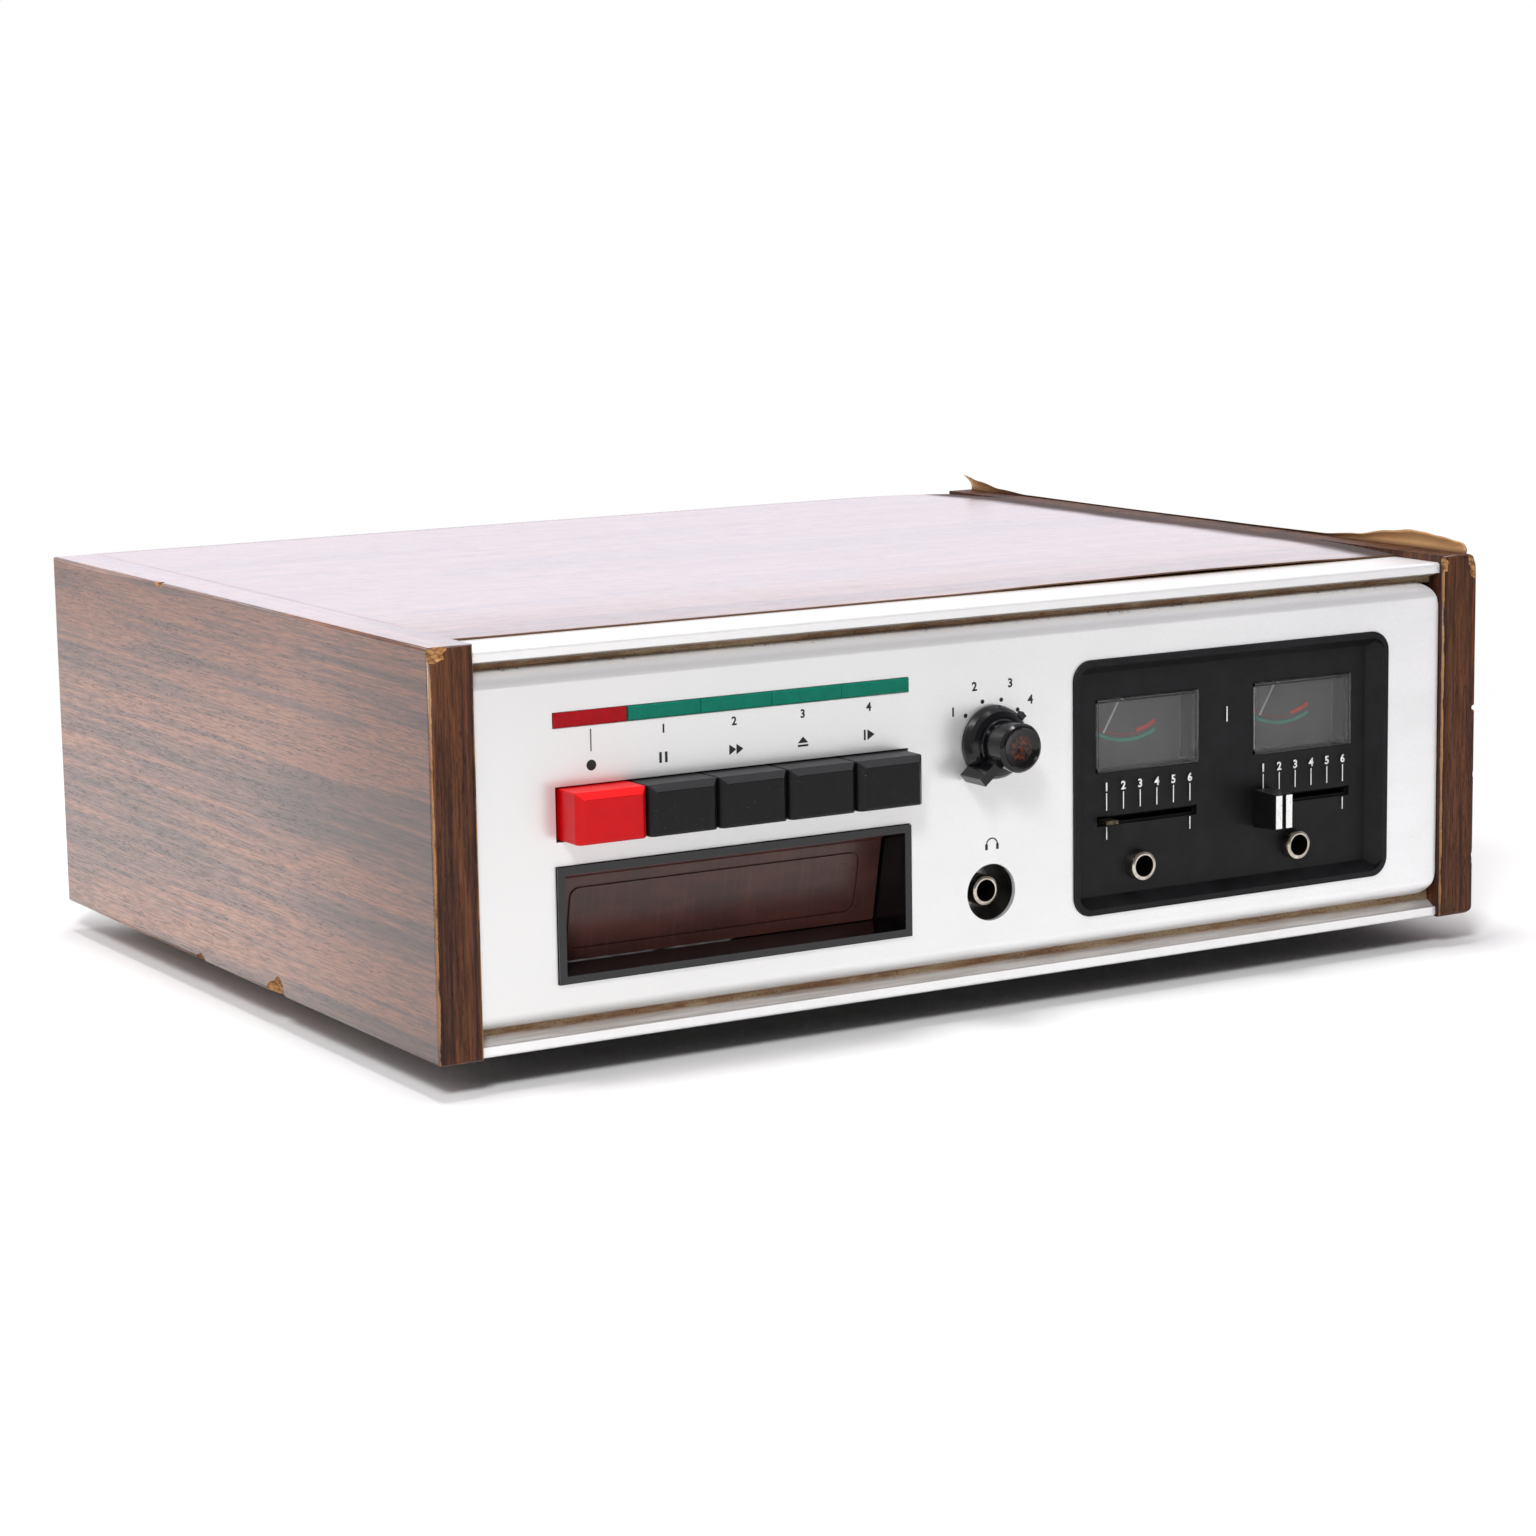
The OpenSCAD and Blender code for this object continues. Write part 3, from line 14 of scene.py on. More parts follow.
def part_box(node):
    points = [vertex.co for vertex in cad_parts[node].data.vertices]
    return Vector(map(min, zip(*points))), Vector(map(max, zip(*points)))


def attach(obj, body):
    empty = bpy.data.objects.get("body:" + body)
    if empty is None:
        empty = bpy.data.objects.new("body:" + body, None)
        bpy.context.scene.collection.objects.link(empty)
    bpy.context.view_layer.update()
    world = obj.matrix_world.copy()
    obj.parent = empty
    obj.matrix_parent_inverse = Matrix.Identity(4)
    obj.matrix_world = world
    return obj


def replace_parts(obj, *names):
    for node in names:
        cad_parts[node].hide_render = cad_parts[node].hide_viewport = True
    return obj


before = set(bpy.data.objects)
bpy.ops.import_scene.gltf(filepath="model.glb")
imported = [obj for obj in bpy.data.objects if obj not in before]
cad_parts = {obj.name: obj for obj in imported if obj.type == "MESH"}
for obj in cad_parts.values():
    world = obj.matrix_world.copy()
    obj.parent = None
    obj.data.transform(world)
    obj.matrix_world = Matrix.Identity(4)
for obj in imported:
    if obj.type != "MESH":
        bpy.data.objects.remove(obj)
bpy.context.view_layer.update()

MM = 0.001
# Height of the selector's axis
SELECTOR_Z = 81.15 * MM
# Vertices closer than this are one
SAME = 1e-6
# How much the strokes of printed numbers are thickened
BOLD = 0.03


# ---- Materials ---------------------------------------------------------------

def srgb(r, g, b):
    """Linear colour of an sRGB colour given from 0 to 255."""
    def linear(c):
        return c / 12.92 if c <= 0.04045 else ((c + 0.055) / 1.055) ** 2.4
    return (linear(r / 255), linear(g / 255), linear(b / 255), 1.0)


class Surface:
    """Writes one procedural material. Sizes of features are in metres."""

    def __init__(self, name, **inputs):
        self.material = bpy.data.materials.new(name)
        self.material.use_nodes = True
        self.tree = self.material.node_tree
        self.shader = self.tree.nodes["Principled BSDF"]
        for key, value in inputs.items():
            title = key.replace("_", " ").title().replace("Ior", "IOR")
            self.shader.inputs[title].default_value = value
        self.place = self.add("ShaderNodeTexCoord").outputs["Object"]
        self.normal = self.add("ShaderNodeNewGeometry").outputs["True Normal"]

    def add(self, kind, **settings):
        node = self.tree.nodes.new(kind)
        for key, value in settings.items():
            setattr(node, key, value)
        return node

    def feed(self, socket, value):
        if isinstance(value, bpy.types.NodeSocket):
            self.tree.links.new(value, socket)
        else:
            socket.default_value = value

    def part(self, vector, axis):
        """One component of a vector: 0, 1 or 2."""
        node = self.add("ShaderNodeSeparateXYZ")
        self.feed(node.inputs[0], vector)
        return node.outputs[axis]

    def math(self, operation, a, b=0.0, clamp=False):
        node = self.add("ShaderNodeMath", operation=operation, use_clamp=clamp)
        self.feed(node.inputs[0], a)
        self.feed(node.inputs[1], b)
        return node.outputs[0]

    def fade(self, value, low, high):
        """0 where value is at low, 1 where it is at high, smooth between."""
        node = self.add("ShaderNodeMapRange", interpolation_type="SMOOTHSTEP")
        self.feed(node.inputs["Value"], value)
        up = low < high
        node.inputs["From Min"].default_value = min(low, high)
        node.inputs["From Max"].default_value = max(low, high)
        node.inputs["To Min"].default_value = 0.0 if up else 1.0
        node.inputs["To Max"].default_value = 1.0 if up else 0.0
        return node.outputs["Result"]

    def mix(self, share, a, b, kind="MIX"):
        node = self.add("ShaderNodeMix", data_type="RGBA", blend_type=kind)
        self.feed(node.inputs["Factor"], share)
        self.feed(node.inputs[6], a)
        self.feed(node.inputs[7], b)
        return node.outputs[2]

    def stretched(self, size, source=None):
        """Coordinates counted in features of that size along x, y and z."""
        node = self.add("ShaderNodeMapping")
        self.feed(node.inputs["Vector"], source or self.place)
        node.inputs["Scale"].default_value = [1 / s for s in size]
        return node.outputs["Vector"]

    def noise(self, size, detail=3.0, rough=0.55, bend=0.0, source=None):
        size = (size,) * 3 if isinstance(size, (int, float)) else size
        node = self.add("ShaderNodeTexNoise")
        self.feed(node.inputs["Vector"], self.stretched(size, source))
        node.inputs["Scale"].default_value = 1.0
        node.inputs["Detail"].default_value = detail
        node.inputs["Roughness"].default_value = rough
        node.inputs["Distortion"].default_value = bend
        return node.outputs["Fac"]

    def cells(self, size, source=None):
        size = (size,) * 3 if isinstance(size, (int, float)) else size
        node = self.add("ShaderNodeTexVoronoi")
        self.feed(node.inputs["Vector"], self.stretched(size, source))
        node.inputs["Scale"].default_value = 1.0
        return node.outputs

    def ramp(self, value, *stops):
        node = self.add("ShaderNodeValToRGB")
        self.feed(node.inputs["Fac"], value)
        points = node.color_ramp.elements
        while len(points) < len(stops):
            points.new(0.5)
        for point, (place, colour) in zip(points, stops):
            point.position = place
            point.color = colour
        return node.outputs["Color"]

    def colour(self, value):
        self.feed(self.shader.inputs["Base Color"], value)
        return self

    def rough(self, value, low, high):
        node = self.add("ShaderNodeMapRange")
        self.feed(node.inputs["Value"], value)
        node.inputs["To Min"].default_value = low
        node.inputs["To Max"].default_value = high
        self.feed(self.shader.inputs["Roughness"], node.outputs["Result"])
        return self

    def bump(self, height, distance, strength=1.0):
        node = self.add("ShaderNodeBump")
        node.inputs["Strength"].default_value = strength
        node.inputs["Distance"].default_value = distance
        self.feed(node.inputs["Height"], height)
        self.feed(self.shader.inputs["Normal"], node.outputs["Normal"])
        return self


def near(s, axis, place, reach, source=None):
    """1 on the plane where a coordinate is place, 0 beyond reach from it."""
    away = s.math("ABSOLUTE", s.math("SUBTRACT", s.part(source or s.place, axis), place))
    return s.fade(away, reach, 0.0)


def wood_tones(s, source):
    """Printed walnut whose grain runs along y of the source coordinates."""
    bands = s.noise((13 * MM, 420 * MM, 13 * MM), 3, 0.55, 0.5, source)
    streaks = s.noise((2.2 * MM, 90 * MM, 2.2 * MM), 4, 0.65, 0.35, source)
    fine = s.noise((0.5 * MM, 11 * MM, 0.5 * MM), 3, 0.7, 0.0, source)
    dashes = s.noise((0.34 * MM, 3.6 * MM, 0.34 * MM), 2, 0.6, 0.2, source)
    pores = s.math("MULTIPLY", s.fade(dashes, 0.54, 0.66), s.fade(streaks, 0.64, 0.42))
    tone = s.math("ADD", s.math("MULTIPLY", bands, 0.55), s.math("MULTIPLY", streaks, 0.45))
    base = s.ramp(
        tone,
        (0.37, srgb(72, 44, 36)), (0.44, srgb(100, 64, 50)), (0.50, srgb(134, 87, 62)),
        (0.55, srgb(166, 108, 70)), (0.62, srgb(110, 72, 55)),
    )
    lines = s.math("MULTIPLY", s.fade(fine, 0.40, 0.62), 0.7)
    base = s.mix(lines, base, s.mix(1.0, base, srgb(140, 134, 136), "MULTIPLY"))
    return s.mix(s.math("MULTIPLY", pores, 0.7), base, srgb(34, 22, 18)), fine, pores


def walnut(name, along, gloss, edges=None, shade=None, dull=0.9, bare_and_painted_shade=None, haze=0.0,
           **inputs):
    """Walnut-printed vinyl.

    along is the grain's axis: 0, 1 or 2. The glare share pales the printed colour towards
    lilac, more towards the back: painted glare, a painted reflection of the pale background.
    dull takes the coat off pores and fine lines. The wear mask darkens the colour and takes
    the coat off: worn bare vinyl on the top's margin, painted shade on the side panels.
    """
    s = Surface(name, **inputs)
    x, y, z = (s.part(s.place, i) for i in range(3))
    source = s.place
    if along != 1:
        swap = s.add("ShaderNodeCombineXYZ")
        for socket, value in zip(swap.inputs, (y, x, z) if along == 0 else (x, z, y)):
            s.feed(socket, value)
        source = swap.outputs[0]
    tones, fine, pores = wood_tones(s, source)
    if shade:
        tones = s.mix(1.0, tones, shade, "MULTIPLY")
    if edges:
        tones = edges(s, tones)
    # Painted glare: the printed colour is paled towards lilac, more towards the back, as a
    # painted reflection of the pale background.
    if haze:
        mottle = s.noise(7 * MM, 4, 0.7)
        rail_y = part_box("top_rail")[0].y
        back = s.fade(y, rail_y + 10 * MM, rail_y + 90 * MM)
        share = s.math("ADD", s.math("MULTIPLY", back, 0.45), s.math("MULTIPLY", mottle, 0.9))
        tones = s.mix(s.math("MULTIPLY", share, haze), tones, srgb(222, 216, 236))
    # The mask darkens the colour and takes the coat off: worn bare vinyl on the top's margin,
    # painted shade on the side panels.
    worn_and_painted_shade = bare_and_painted_shade(s) if bare_and_painted_shade else 0.0
    if bare_and_painted_shade:
        tones = s.mix(worn_and_painted_shade, tones, s.mix(1.0, tones, srgb(92, 66, 56), "MULTIPLY"))
    weight = s.shader.inputs["Coat Weight"].default_value
    if weight:
        matt = s.math("MAXIMUM", s.math("MULTIPLY", pores, dull),
                      s.math("MULTIPLY", s.fade(fine, 0.42, 0.66), dull * 0.5))
        matt = s.math("MAXIMUM", matt, worn_and_painted_shade)
        s.feed(s.shader.inputs["Coat Weight"],
               s.math("MULTIPLY", s.math("SUBTRACT", 1.0, matt), weight))
    s.colour(tones).rough(fine, *gloss).bump(fine, 0.05 * MM, 0.35)
    if bare_and_painted_shade:
        polish = s.shader.inputs["Roughness"]
        s.feed(polish, s.math("MAXIMUM", polish.links[0].from_socket,
                              s.math("MULTIPLY", worn_and_painted_shade, 0.95)))
    return s


def worn_side(node):
    """Edge wear of a side panel: thin tan lines where the vinyl has rubbed through."""
    lo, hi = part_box(node)

    def edges(s, tones):
        wander = s.noise((3 * MM, 3 * MM, 14 * MM), 4, 0.7)
        grit = s.noise(0.5 * MM, 2, 0.6)
        reach = s.fade(wander, 0.30, 0.75)
        fore = s.math("SUBTRACT", s.part(s.place, 1), lo.y)
        rims = []
        narrow, more = 0.72 * MM, 0.25 * MM
        for x in (lo.x, hi.x):
            beside = s.math("ABSOLUTE", s.math("SUBTRACT", s.part(s.place, 0), x))
            away = s.math("ADD", beside, fore)
            rim = s.math("ADD", s.math("MULTIPLY", reach, more), narrow)
            rims.append(s.fade(s.math("SUBTRACT", rim, away), 0.0, 0.12 * MM))
        worn_and_painted_shade = s.math("MULTIPLY", s.math("MAXIMUM", *rims), s.fade(wander, 0.34, 0.46))
        tan = s.mix(grit, srgb(188, 136, 76), srgb(104, 68, 38))
        return s.mix(worn_and_painted_shade, tones, tan)
    return edges


def worn_margin(s):
    """Bare band of the top along the loose vinyl of the right panel."""
    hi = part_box("top_panel")[1]
    wander = s.noise((9 * MM, 30 * MM, 9 * MM), 3, 0.6)
    away = s.math("SUBTRACT", hi.x, s.part(s.place, 0))
    away = s.math("ADD", away, s.math("MULTIPLY", wander, 6 * MM))
    return s.fade(away, 20 * MM, 9 * MM)


def side_painted_shade(s):
    """Painted shade: darker colour and less shine towards the front and the top of a side
    panel.
    """
    lo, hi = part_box("left_side_panel")
    fore = s.math("MULTIPLY", s.fade(s.part(s.place, 1), lo.y + 150 * MM, lo.y), 0.5)
    high = s.math("MULTIPLY", s.fade(s.part(s.place, 2), hi.z - 60 * MM, hi.z), 0.3)
    return s.math("MAXIMUM", fore, high)


def board(name):
    """Bare particle board: pale chips in a darker binder."""
    s = Surface(name, roughness=0.85)
    chips = s.cells((1.4 * MM, 2.6 * MM, 0.9 * MM))
    crumbs = s.noise(0.4 * MM, 4, 0.7)
    tone = s.mix(crumbs, srgb(214, 164, 104), srgb(140, 92, 48))
    s.colour(s.mix(s.fade(chips["Distance"], 0.2, 0.9), tone, srgb(104, 66, 36)))
    return s.bump(crumbs, 0.4 * MM, 0.8)


def plastic(name, base, light, size, **inputs):
    """Moulded plastic with a fine sparkle grain and cloudy tone."""
    s = Surface(name, **inputs)
    cloud = s.noise(9 * MM, 4, 0.6)
    grain = s.noise(size, 3, 0.7)
    tone = s.mix(s.fade(cloud, 0.3, 0.75), base, light)
    s.colour(s.mix(s.fade(grain, 0.62, 0.85), tone, light))
    low = s.shader.inputs["Roughness"].default_value
    return s.rough(cloud, low * 0.85, low * 1.25).bump(grain, 0.03 * MM, 0.35)


def dusty(s, tones, share, speck=0.35 * MM, colour=(150, 140, 116)):
    """Specks of dust in patches, as much as share gives."""
    specks = s.fade(s.noise(speck, 2, 0.5), 0.66, 0.80)
    patches = s.fade(s.noise(5 * MM, 3, 0.6), 0.45, 0.70)
    return s.mix(s.math("MULTIPLY", s.math("MULTIPLY", specks, patches), share),
                 tones, srgb(*colour))


def key_plastic(name, base, light, bevel, dust, painted_glow=0.0):
    s = Surface(name, roughness=0.34, specular_ior_level=0.2)
    cloud = s.noise(7 * MM, 3, 0.6)
    grain = s.noise(0.25 * MM, 3, 0.7)
    # Painted highlight: faces that look up take the lighter bevel colour.
    up = s.fade(s.part(s.normal, 2), 0.3, 0.6)
    tone = s.mix(cloud, base, light)
    tone = s.mix(s.math("MULTIPLY", up, 0.65), tone, bevel)
    s.colour(dusty(s, tone, dust))
    # Painted glow: the plastic gives off a little light in its own colour, though it is no
    # lamp.
    if painted_glow:
        s.shader.inputs["Emission Color"].default_value = base
        s.shader.inputs["Emission Strength"].default_value = painted_glow
    return s.rough(cloud, 0.26, 0.42).bump(grain, 0.02 * MM, 0.3)


def metal(name, base, dark, roughness, size, **inputs):
    """Metal with small changes of tone and polish."""
    s = Surface(name, metallic=1.0, roughness=roughness, **inputs)
    cloud = s.noise(size, 5, 0.65)
    fine = s.noise(0.3 * MM, 2, 0.6)
    s.colour(s.mix(s.fade(cloud, 0.3, 0.8), base, dark))
    return s.rough(cloud, roughness * 0.8, roughness * 1.3).bump(fine, 0.01 * MM, 0.3)


def satin_aluminium():
    """Satin aluminium, lighter towards the right as painted light, with grime and rust set
    back from the fascia's front.
    """
    s = Surface("satin_aluminium", metallic=0.55, roughness=0.3, specular_ior_level=0.6)
    lo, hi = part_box("fascia")
    cloud = s.noise((60 * MM, 60 * MM, 25 * MM), 4, 0.6)
    fine = s.noise(0.4 * MM, 2, 0.6)
    # Painted light: the colour runs from darker at the left end to lighter at the right end.
    tone = s.mix(s.fade(s.part(s.place, 0), lo.x, hi.x), srgb(224, 224, 222),
                 srgb(244, 244, 244))
    tone = s.mix(s.math("MULTIPLY", s.fade(cloud, 0.3, 0.75), 0.4), tone,
                 srgb(224, 225, 224))
    tone = s.mix(s.math("MULTIPLY", s.fade(fine, 0.4, 0.9), 0.5), tone, srgb(220, 220, 220))
    smear = s.noise((26 * MM, 26 * MM, 2.4 * MM), 4, 0.6)
    spots = s.noise((2.2 * MM, 2.2 * MM, 0.8 * MM), 4, 0.7)
    y = s.part(s.place, 1)
    deep = s.fade(y, lo.y + 2.4 * MM, lo.y + 4.8 * MM)
    grime = s.math("MULTIPLY", deep, s.fade(smear, 0.22, 0.5))
    tone = s.mix(s.math("MULTIPLY", grime, 0.9), tone, srgb(132, 112, 94))
    rust = s.math("MULTIPLY", s.fade(y, lo.y + 1.4 * MM, lo.y + 3.4 * MM),
                  s.fade(spots, 0.56, 0.68))
    tone = s.mix(s.math("MULTIPLY", rust, 0.85), tone, srgb(98, 66, 50))
    s.colour(tone)
    return s.rough(fine, 0.26, 0.36).bump(fine, 0.004 * MM, 0.3)


def rail_aluminium():
    """The rails: bright lips, grey slopes, dirt by the fascia, and painted shade on the
    underside.
    """
    s = Surface("rail_aluminium", metallic=0.4, roughness=0.36, specular_ior_level=0.6)
    lo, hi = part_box("top_rail")
    y, z = s.part(s.place, 1), s.part(s.place, 2)
    fine = s.noise((3 * MM, 0.4 * MM, 0.4 * MM), 3, 0.7)
    streak = s.noise((34 * MM, 1.6 * MM, 1.2 * MM), 5, 0.7)
    spots = s.noise((1.8 * MM, 0.7 * MM, 0.7 * MM), 4, 0.75)
    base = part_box("bottom_rail")[0].z
    inside = s.math("MULTIPLY", s.fade(z, hi.z - 2.9 * MM, hi.z - 3.3 * MM),
                    s.fade(z, base + 2.9 * MM, base + 3.3 * MM))
    deep = s.fade(y, lo.y + 2.6 * MM, lo.y + 5.0 * MM)
    tone = s.mix(fine, srgb(242, 242, 242), srgb(232, 232, 231))
    grey = s.mix(s.fade(streak, 0.35, 0.7), srgb(204, 202, 199), srgb(176, 168, 162))
    grimy = s.mix(s.fade(streak, 0.35, 0.62), srgb(178, 154, 138), srgb(140, 116, 96))
    grey = s.mix(deep, grey, grimy)
    rust = s.math("MULTIPLY", deep, s.fade(spots, 0.56, 0.66))
    grey = s.mix(s.math("MULTIPLY", rust, 0.85), grey, srgb(92, 62, 48))
    tone = s.mix(inside, tone, grey)
    # Painted shade: the lowest part of the bottom rail is darkened.
    painted_underside_shade = s.fade(z, base + 0.35 * MM, base + 0.1 * MM)
    s.colour(s.mix(painted_underside_shade, tone, srgb(62, 58, 54)))
    return s.rough(streak, 0.28, 0.42).bump(fine, 0.01 * MM, 0.3)


def groove_dirt():
    """Packed dust and rust between the fascia and the rails."""
    s = Surface("groove_dirt", roughness=0.95, specular_ior_level=0.1)
    crumbs = s.noise(0.5 * MM, 4, 0.75)
    patches = s.noise((16 * MM, 3 * MM, 3 * MM), 4, 0.65)
    tone = s.mix(s.fade(patches, 0.35, 0.65), srgb(166, 146, 118), srgb(138, 104, 78))
    s.colour(s.mix(s.fade(crumbs, 0.5, 0.7), tone, srgb(84, 60, 44)))
    return s.bump(crumbs, 0.3 * MM, 0.8)


def knob_gloss():
    """Polished black with a rubbed reddish-brown patch on the dished face."""
    s = Surface("knob_gloss", roughness=0.12, specular_ior_level=0.36)
    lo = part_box("selector_knob")[0]
    spots = s.noise(1.3 * MM, 4, 0.7)
    face = s.fade(s.part(s.place, 1), lo.y + 2.2 * MM, lo.y + 1.4 * MM)

    def square(v):
        return s.math("MULTIPLY", v, v)

    away = s.math("ADD", square(s.part(s.place, 0)),
                  square(s.math("SUBTRACT", s.part(s.place, 2), SELECTOR_Z)))
    middle = s.fade(s.math("SQRT", away), 4.8 * MM, 2.6 * MM)
    rub = s.math("MULTIPLY", s.math("MULTIPLY", face, middle), s.fade(spots, 0.42, 0.62))
    s.colour(s.mix(s.math("MULTIPLY", rub, 0.8), srgb(6, 5, 7), srgb(92, 46, 27)))
    return s.rough(spots, 0.08, 0.2).bump(spots, 0.01 * MM, 0.3)


def lens(name, base, pale, outline, node):
    """Coloured bar with fine ribs, a lighter top edge as a painted highlight, a darker foot as
    painted shade, and a faint painted glow.
    """
    s = Surface(name, roughness=0.14, specular_ior_level=0.12)
    lo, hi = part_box(node)
    wave = s.add("ShaderNodeTexWave", bands_direction="X", wave_profile="SIN")
    s.feed(wave.inputs["Vector"], s.stretched((0.9 * MM, MM, MM)))
    wave.inputs["Scale"].default_value = 0.5
    cloud = s.noise(3 * MM, 3, 0.6)
    tone = s.mix(cloud, base, pale)
    tone = s.mix(s.math("MULTIPLY", wave.outputs["Fac"], 0.1), tone, outline)
    # Painted highlight: the top edge is lightened towards the outline colour.
    tone = s.mix(s.math("MULTIPLY", near(s, 2, hi.z, 0.8 * MM), 0.6), tone, outline)
    # Painted shade: the foot is darkened.
    foot = s.mix(1.0, base, srgb(120, 120, 120), "MULTIPLY")
    s.colour(s.mix(s.math("MULTIPLY", near(s, 2, lo.z, 0.9 * MM), 0.8), tone, foot))
    # Painted glow: the lens gives off a little light in its own colour, though it is no lamp.
    s.shader.inputs["Emission Color"].default_value = base
    s.shader.inputs["Emission Strength"].default_value = 0.06
    return s.bump(wave.outputs["Fac"], 0.05 * MM, 0.25)


def clear_plastic():
    """Clear moulding with a faint haze of scratches."""
    s = Surface("clear_plastic", roughness=0.04, ior=1.46)
    s.shader.inputs["Transmission Weight"].default_value = 1.0
    haze = s.noise((2 * MM, 2 * MM, 14 * MM), 4, 0.7)
    s.colour(s.mix(haze, srgb(250, 250, 248), srgb(226, 228, 226)))
    return s.rough(haze, 0.02, 0.10).bump(haze, 0.02 * MM, 0.2)


def smoked():
    """Brown translucent plastic with faint upright streaks."""
    s = Surface("smoked_plastic", roughness=0.3, specular_ior_level=0.4)
    streaks = s.noise((1.2 * MM, 6 * MM, 30 * MM), 4, 0.65)
    cloud = s.noise((26 * MM, 9 * MM, 9 * MM), 4, 0.6)
    tone = s.mix(s.fade(cloud, 0.3, 0.7), srgb(82, 48, 42), srgb(62, 38, 35))
    s.colour(s.mix(s.math("MULTIPLY", s.fade(streaks, 0.45, 0.8), 0.45), tone,
                   srgb(96, 62, 54)))
    return s.rough(cloud, 0.24, 0.36).bump(streaks, 0.01 * MM, 0.2)


def ink(name, base, faded):
    s = Surface(name, roughness=0.6)
    wear = s.noise((0.6 * MM, 0.6 * MM, 1.1 * MM), 3, 0.7)
    s.colour(s.mix(s.fade(wear, 0.52, 0.82), base, faded))
    return s.rough(wear, 0.5, 0.7)


def leaf_back():
    """Back of the loose vinyl: tan paper fibres with brown glue stains, and painted shade at
    its foot.
    """
    s = Surface("vinyl_back", roughness=0.8)
    fibres = s.noise((0.4 * MM, 4 * MM, 0.4 * MM), 3, 0.6)
    stains = s.noise((3 * MM, 22 * MM, 3 * MM), 3, 0.6)
    # Painted shade: darker at the foot, in the crease by the panel's top.
    foot = near(s, 2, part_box("right_side_panel")[1].z, 1.6 * MM)
    tone = s.mix(fibres, srgb(240, 196, 140), srgb(214, 162, 104))
    tone = s.mix(s.math("MULTIPLY", s.fade(stains, 0.5, 0.8), 0.5), tone, srgb(160, 108, 70))
    s.colour(s.mix(s.math("MULTIPLY", foot, 0.8), tone, srgb(98, 62, 42)))
    return s.bump(fibres, 0.03 * MM, 0.3)


SKINS = {
    "raw_wood": board("particle_board"),
    "vinyl_back": leaf_back(),
    "aluminium": satin_aluminium(),
    "steel": metal("zinc_steel", srgb(176, 178, 176), srgb(132, 132, 128), 0.42, 12 * MM),
    "hardboard": plastic("hardboard", srgb(104, 72, 48), srgb(124, 90, 62), 0.8 * MM,
                         roughness=0.7),
    "rubber": plastic("rubber", srgb(30, 30, 31), srgb(46, 46, 46), 0.4 * MM,
                      roughness=0.75),
    "bright_steel": metal("bright_steel", srgb(214, 214, 212), srgb(170, 170, 168),
                          0.22, 5 * MM),
    "nickel": metal("nickel", srgb(208, 203, 192), srgb(150, 138, 118), 0.18, 3 * MM),
    "black_gloss": plastic("gloss_black", srgb(5, 5, 7), srgb(12, 11, 13),
                           0.3 * MM, roughness=0.14, specular_ior_level=0.5),
    "black_matte": plastic("fine_grain_black", srgb(8, 8, 10), srgb(20, 20, 22),
                           0.28 * MM, roughness=0.42, specular_ior_level=0.22),
    "smoked_brown": smoked(),
    "brass": metal("brass", srgb(212, 176, 96), srgb(160, 124, 62), 0.26, 5 * MM),
    "nylon": plastic("nylon", srgb(224, 220, 206), srgb(204, 198, 182), 0.5 * MM,
                     roughness=0.5),
    "red_plastic": key_plastic("red_plastic", srgb(176, 0, 8), srgb(192, 4, 12),
                               srgb(226, 24, 26), 0.15, 0.03),
    "key_black": key_plastic("key_black", srgb(8, 8, 10), srgb(20, 20, 20),
                             srgb(50, 50, 52), 0.9),
    "dark_plastic": plastic("dark_plastic", srgb(10, 10, 11), srgb(20, 20, 21),
                            0.4 * MM, roughness=0.6, specular_ior_level=0.2),
    "phenolic": plastic("phenolic", srgb(132, 92, 54), srgb(156, 114, 70), 0.6 * MM,
                        roughness=0.5),
    "red_lens": lens("red_lens", srgb(120, 0, 8), srgb(156, 2, 14),
                     srgb(214, 50, 58), "record_lens"),
    "green_lens": lens("green_lens", srgb(0, 86, 68), srgb(0, 112, 88),
                       srgb(30, 150, 128), "channel_lens"),
    "clear": clear_plastic(),
    "dial_grey": plastic("dial_face", srgb(92, 92, 93), srgb(104, 103, 102), 0.5 * MM,
                         roughness=0.6),
    "needle_white": plastic("needle_white", srgb(236, 236, 232), srgb(214, 214, 208),
                            0.4 * MM, roughness=0.4),
}
SKINS["walnut"] = walnut("walnut", 1, (0.4, 0.55), coat_weight=1.0, coat_ior=1.7,
                         coat_roughness=0.3)
rail_skin = rail_aluminium()
dirt_skin = groove_dirt()
# The top: a glossy coat over a printed colour paled towards lilac by painted glare
TOP_GLOSS = dict(coat_weight=1.0, coat_ior=2.1, coat_roughness=0.16,
                 specular_ior_level=0.8, dull=0.4, haze=0.42)
top_skin = walnut("walnut_top", 0, (0.24, 0.34), bare_and_painted_shade=worn_margin, **TOP_GLOSS)
side_top_skin = walnut("walnut_side_top", 1, (0.24, 0.34), **TOP_GLOSS)
side_skins = {}
edge_skins = {}
for tag in ("left", "right"):
    wear = worn_side(f"{tag}_side_panel")
    # Painted shade: the side panels darken and lose shine towards the front and the top.
    side_skins[tag] = walnut(f"walnut_{tag}", 1, (0.4, 0.55), wear, coat_weight=1.0,
                             coat_ior=1.7, coat_roughness=0.3, specular_ior_level=0.5,
                             dull=0.6, bare_and_painted_shade=side_painted_shade)
    edge_skins[tag] = walnut(f"walnut_{tag}_edge", 2, (0.45, 0.6), wear,
                             srgb(158, 150, 146), specular_ior_level=0.2)
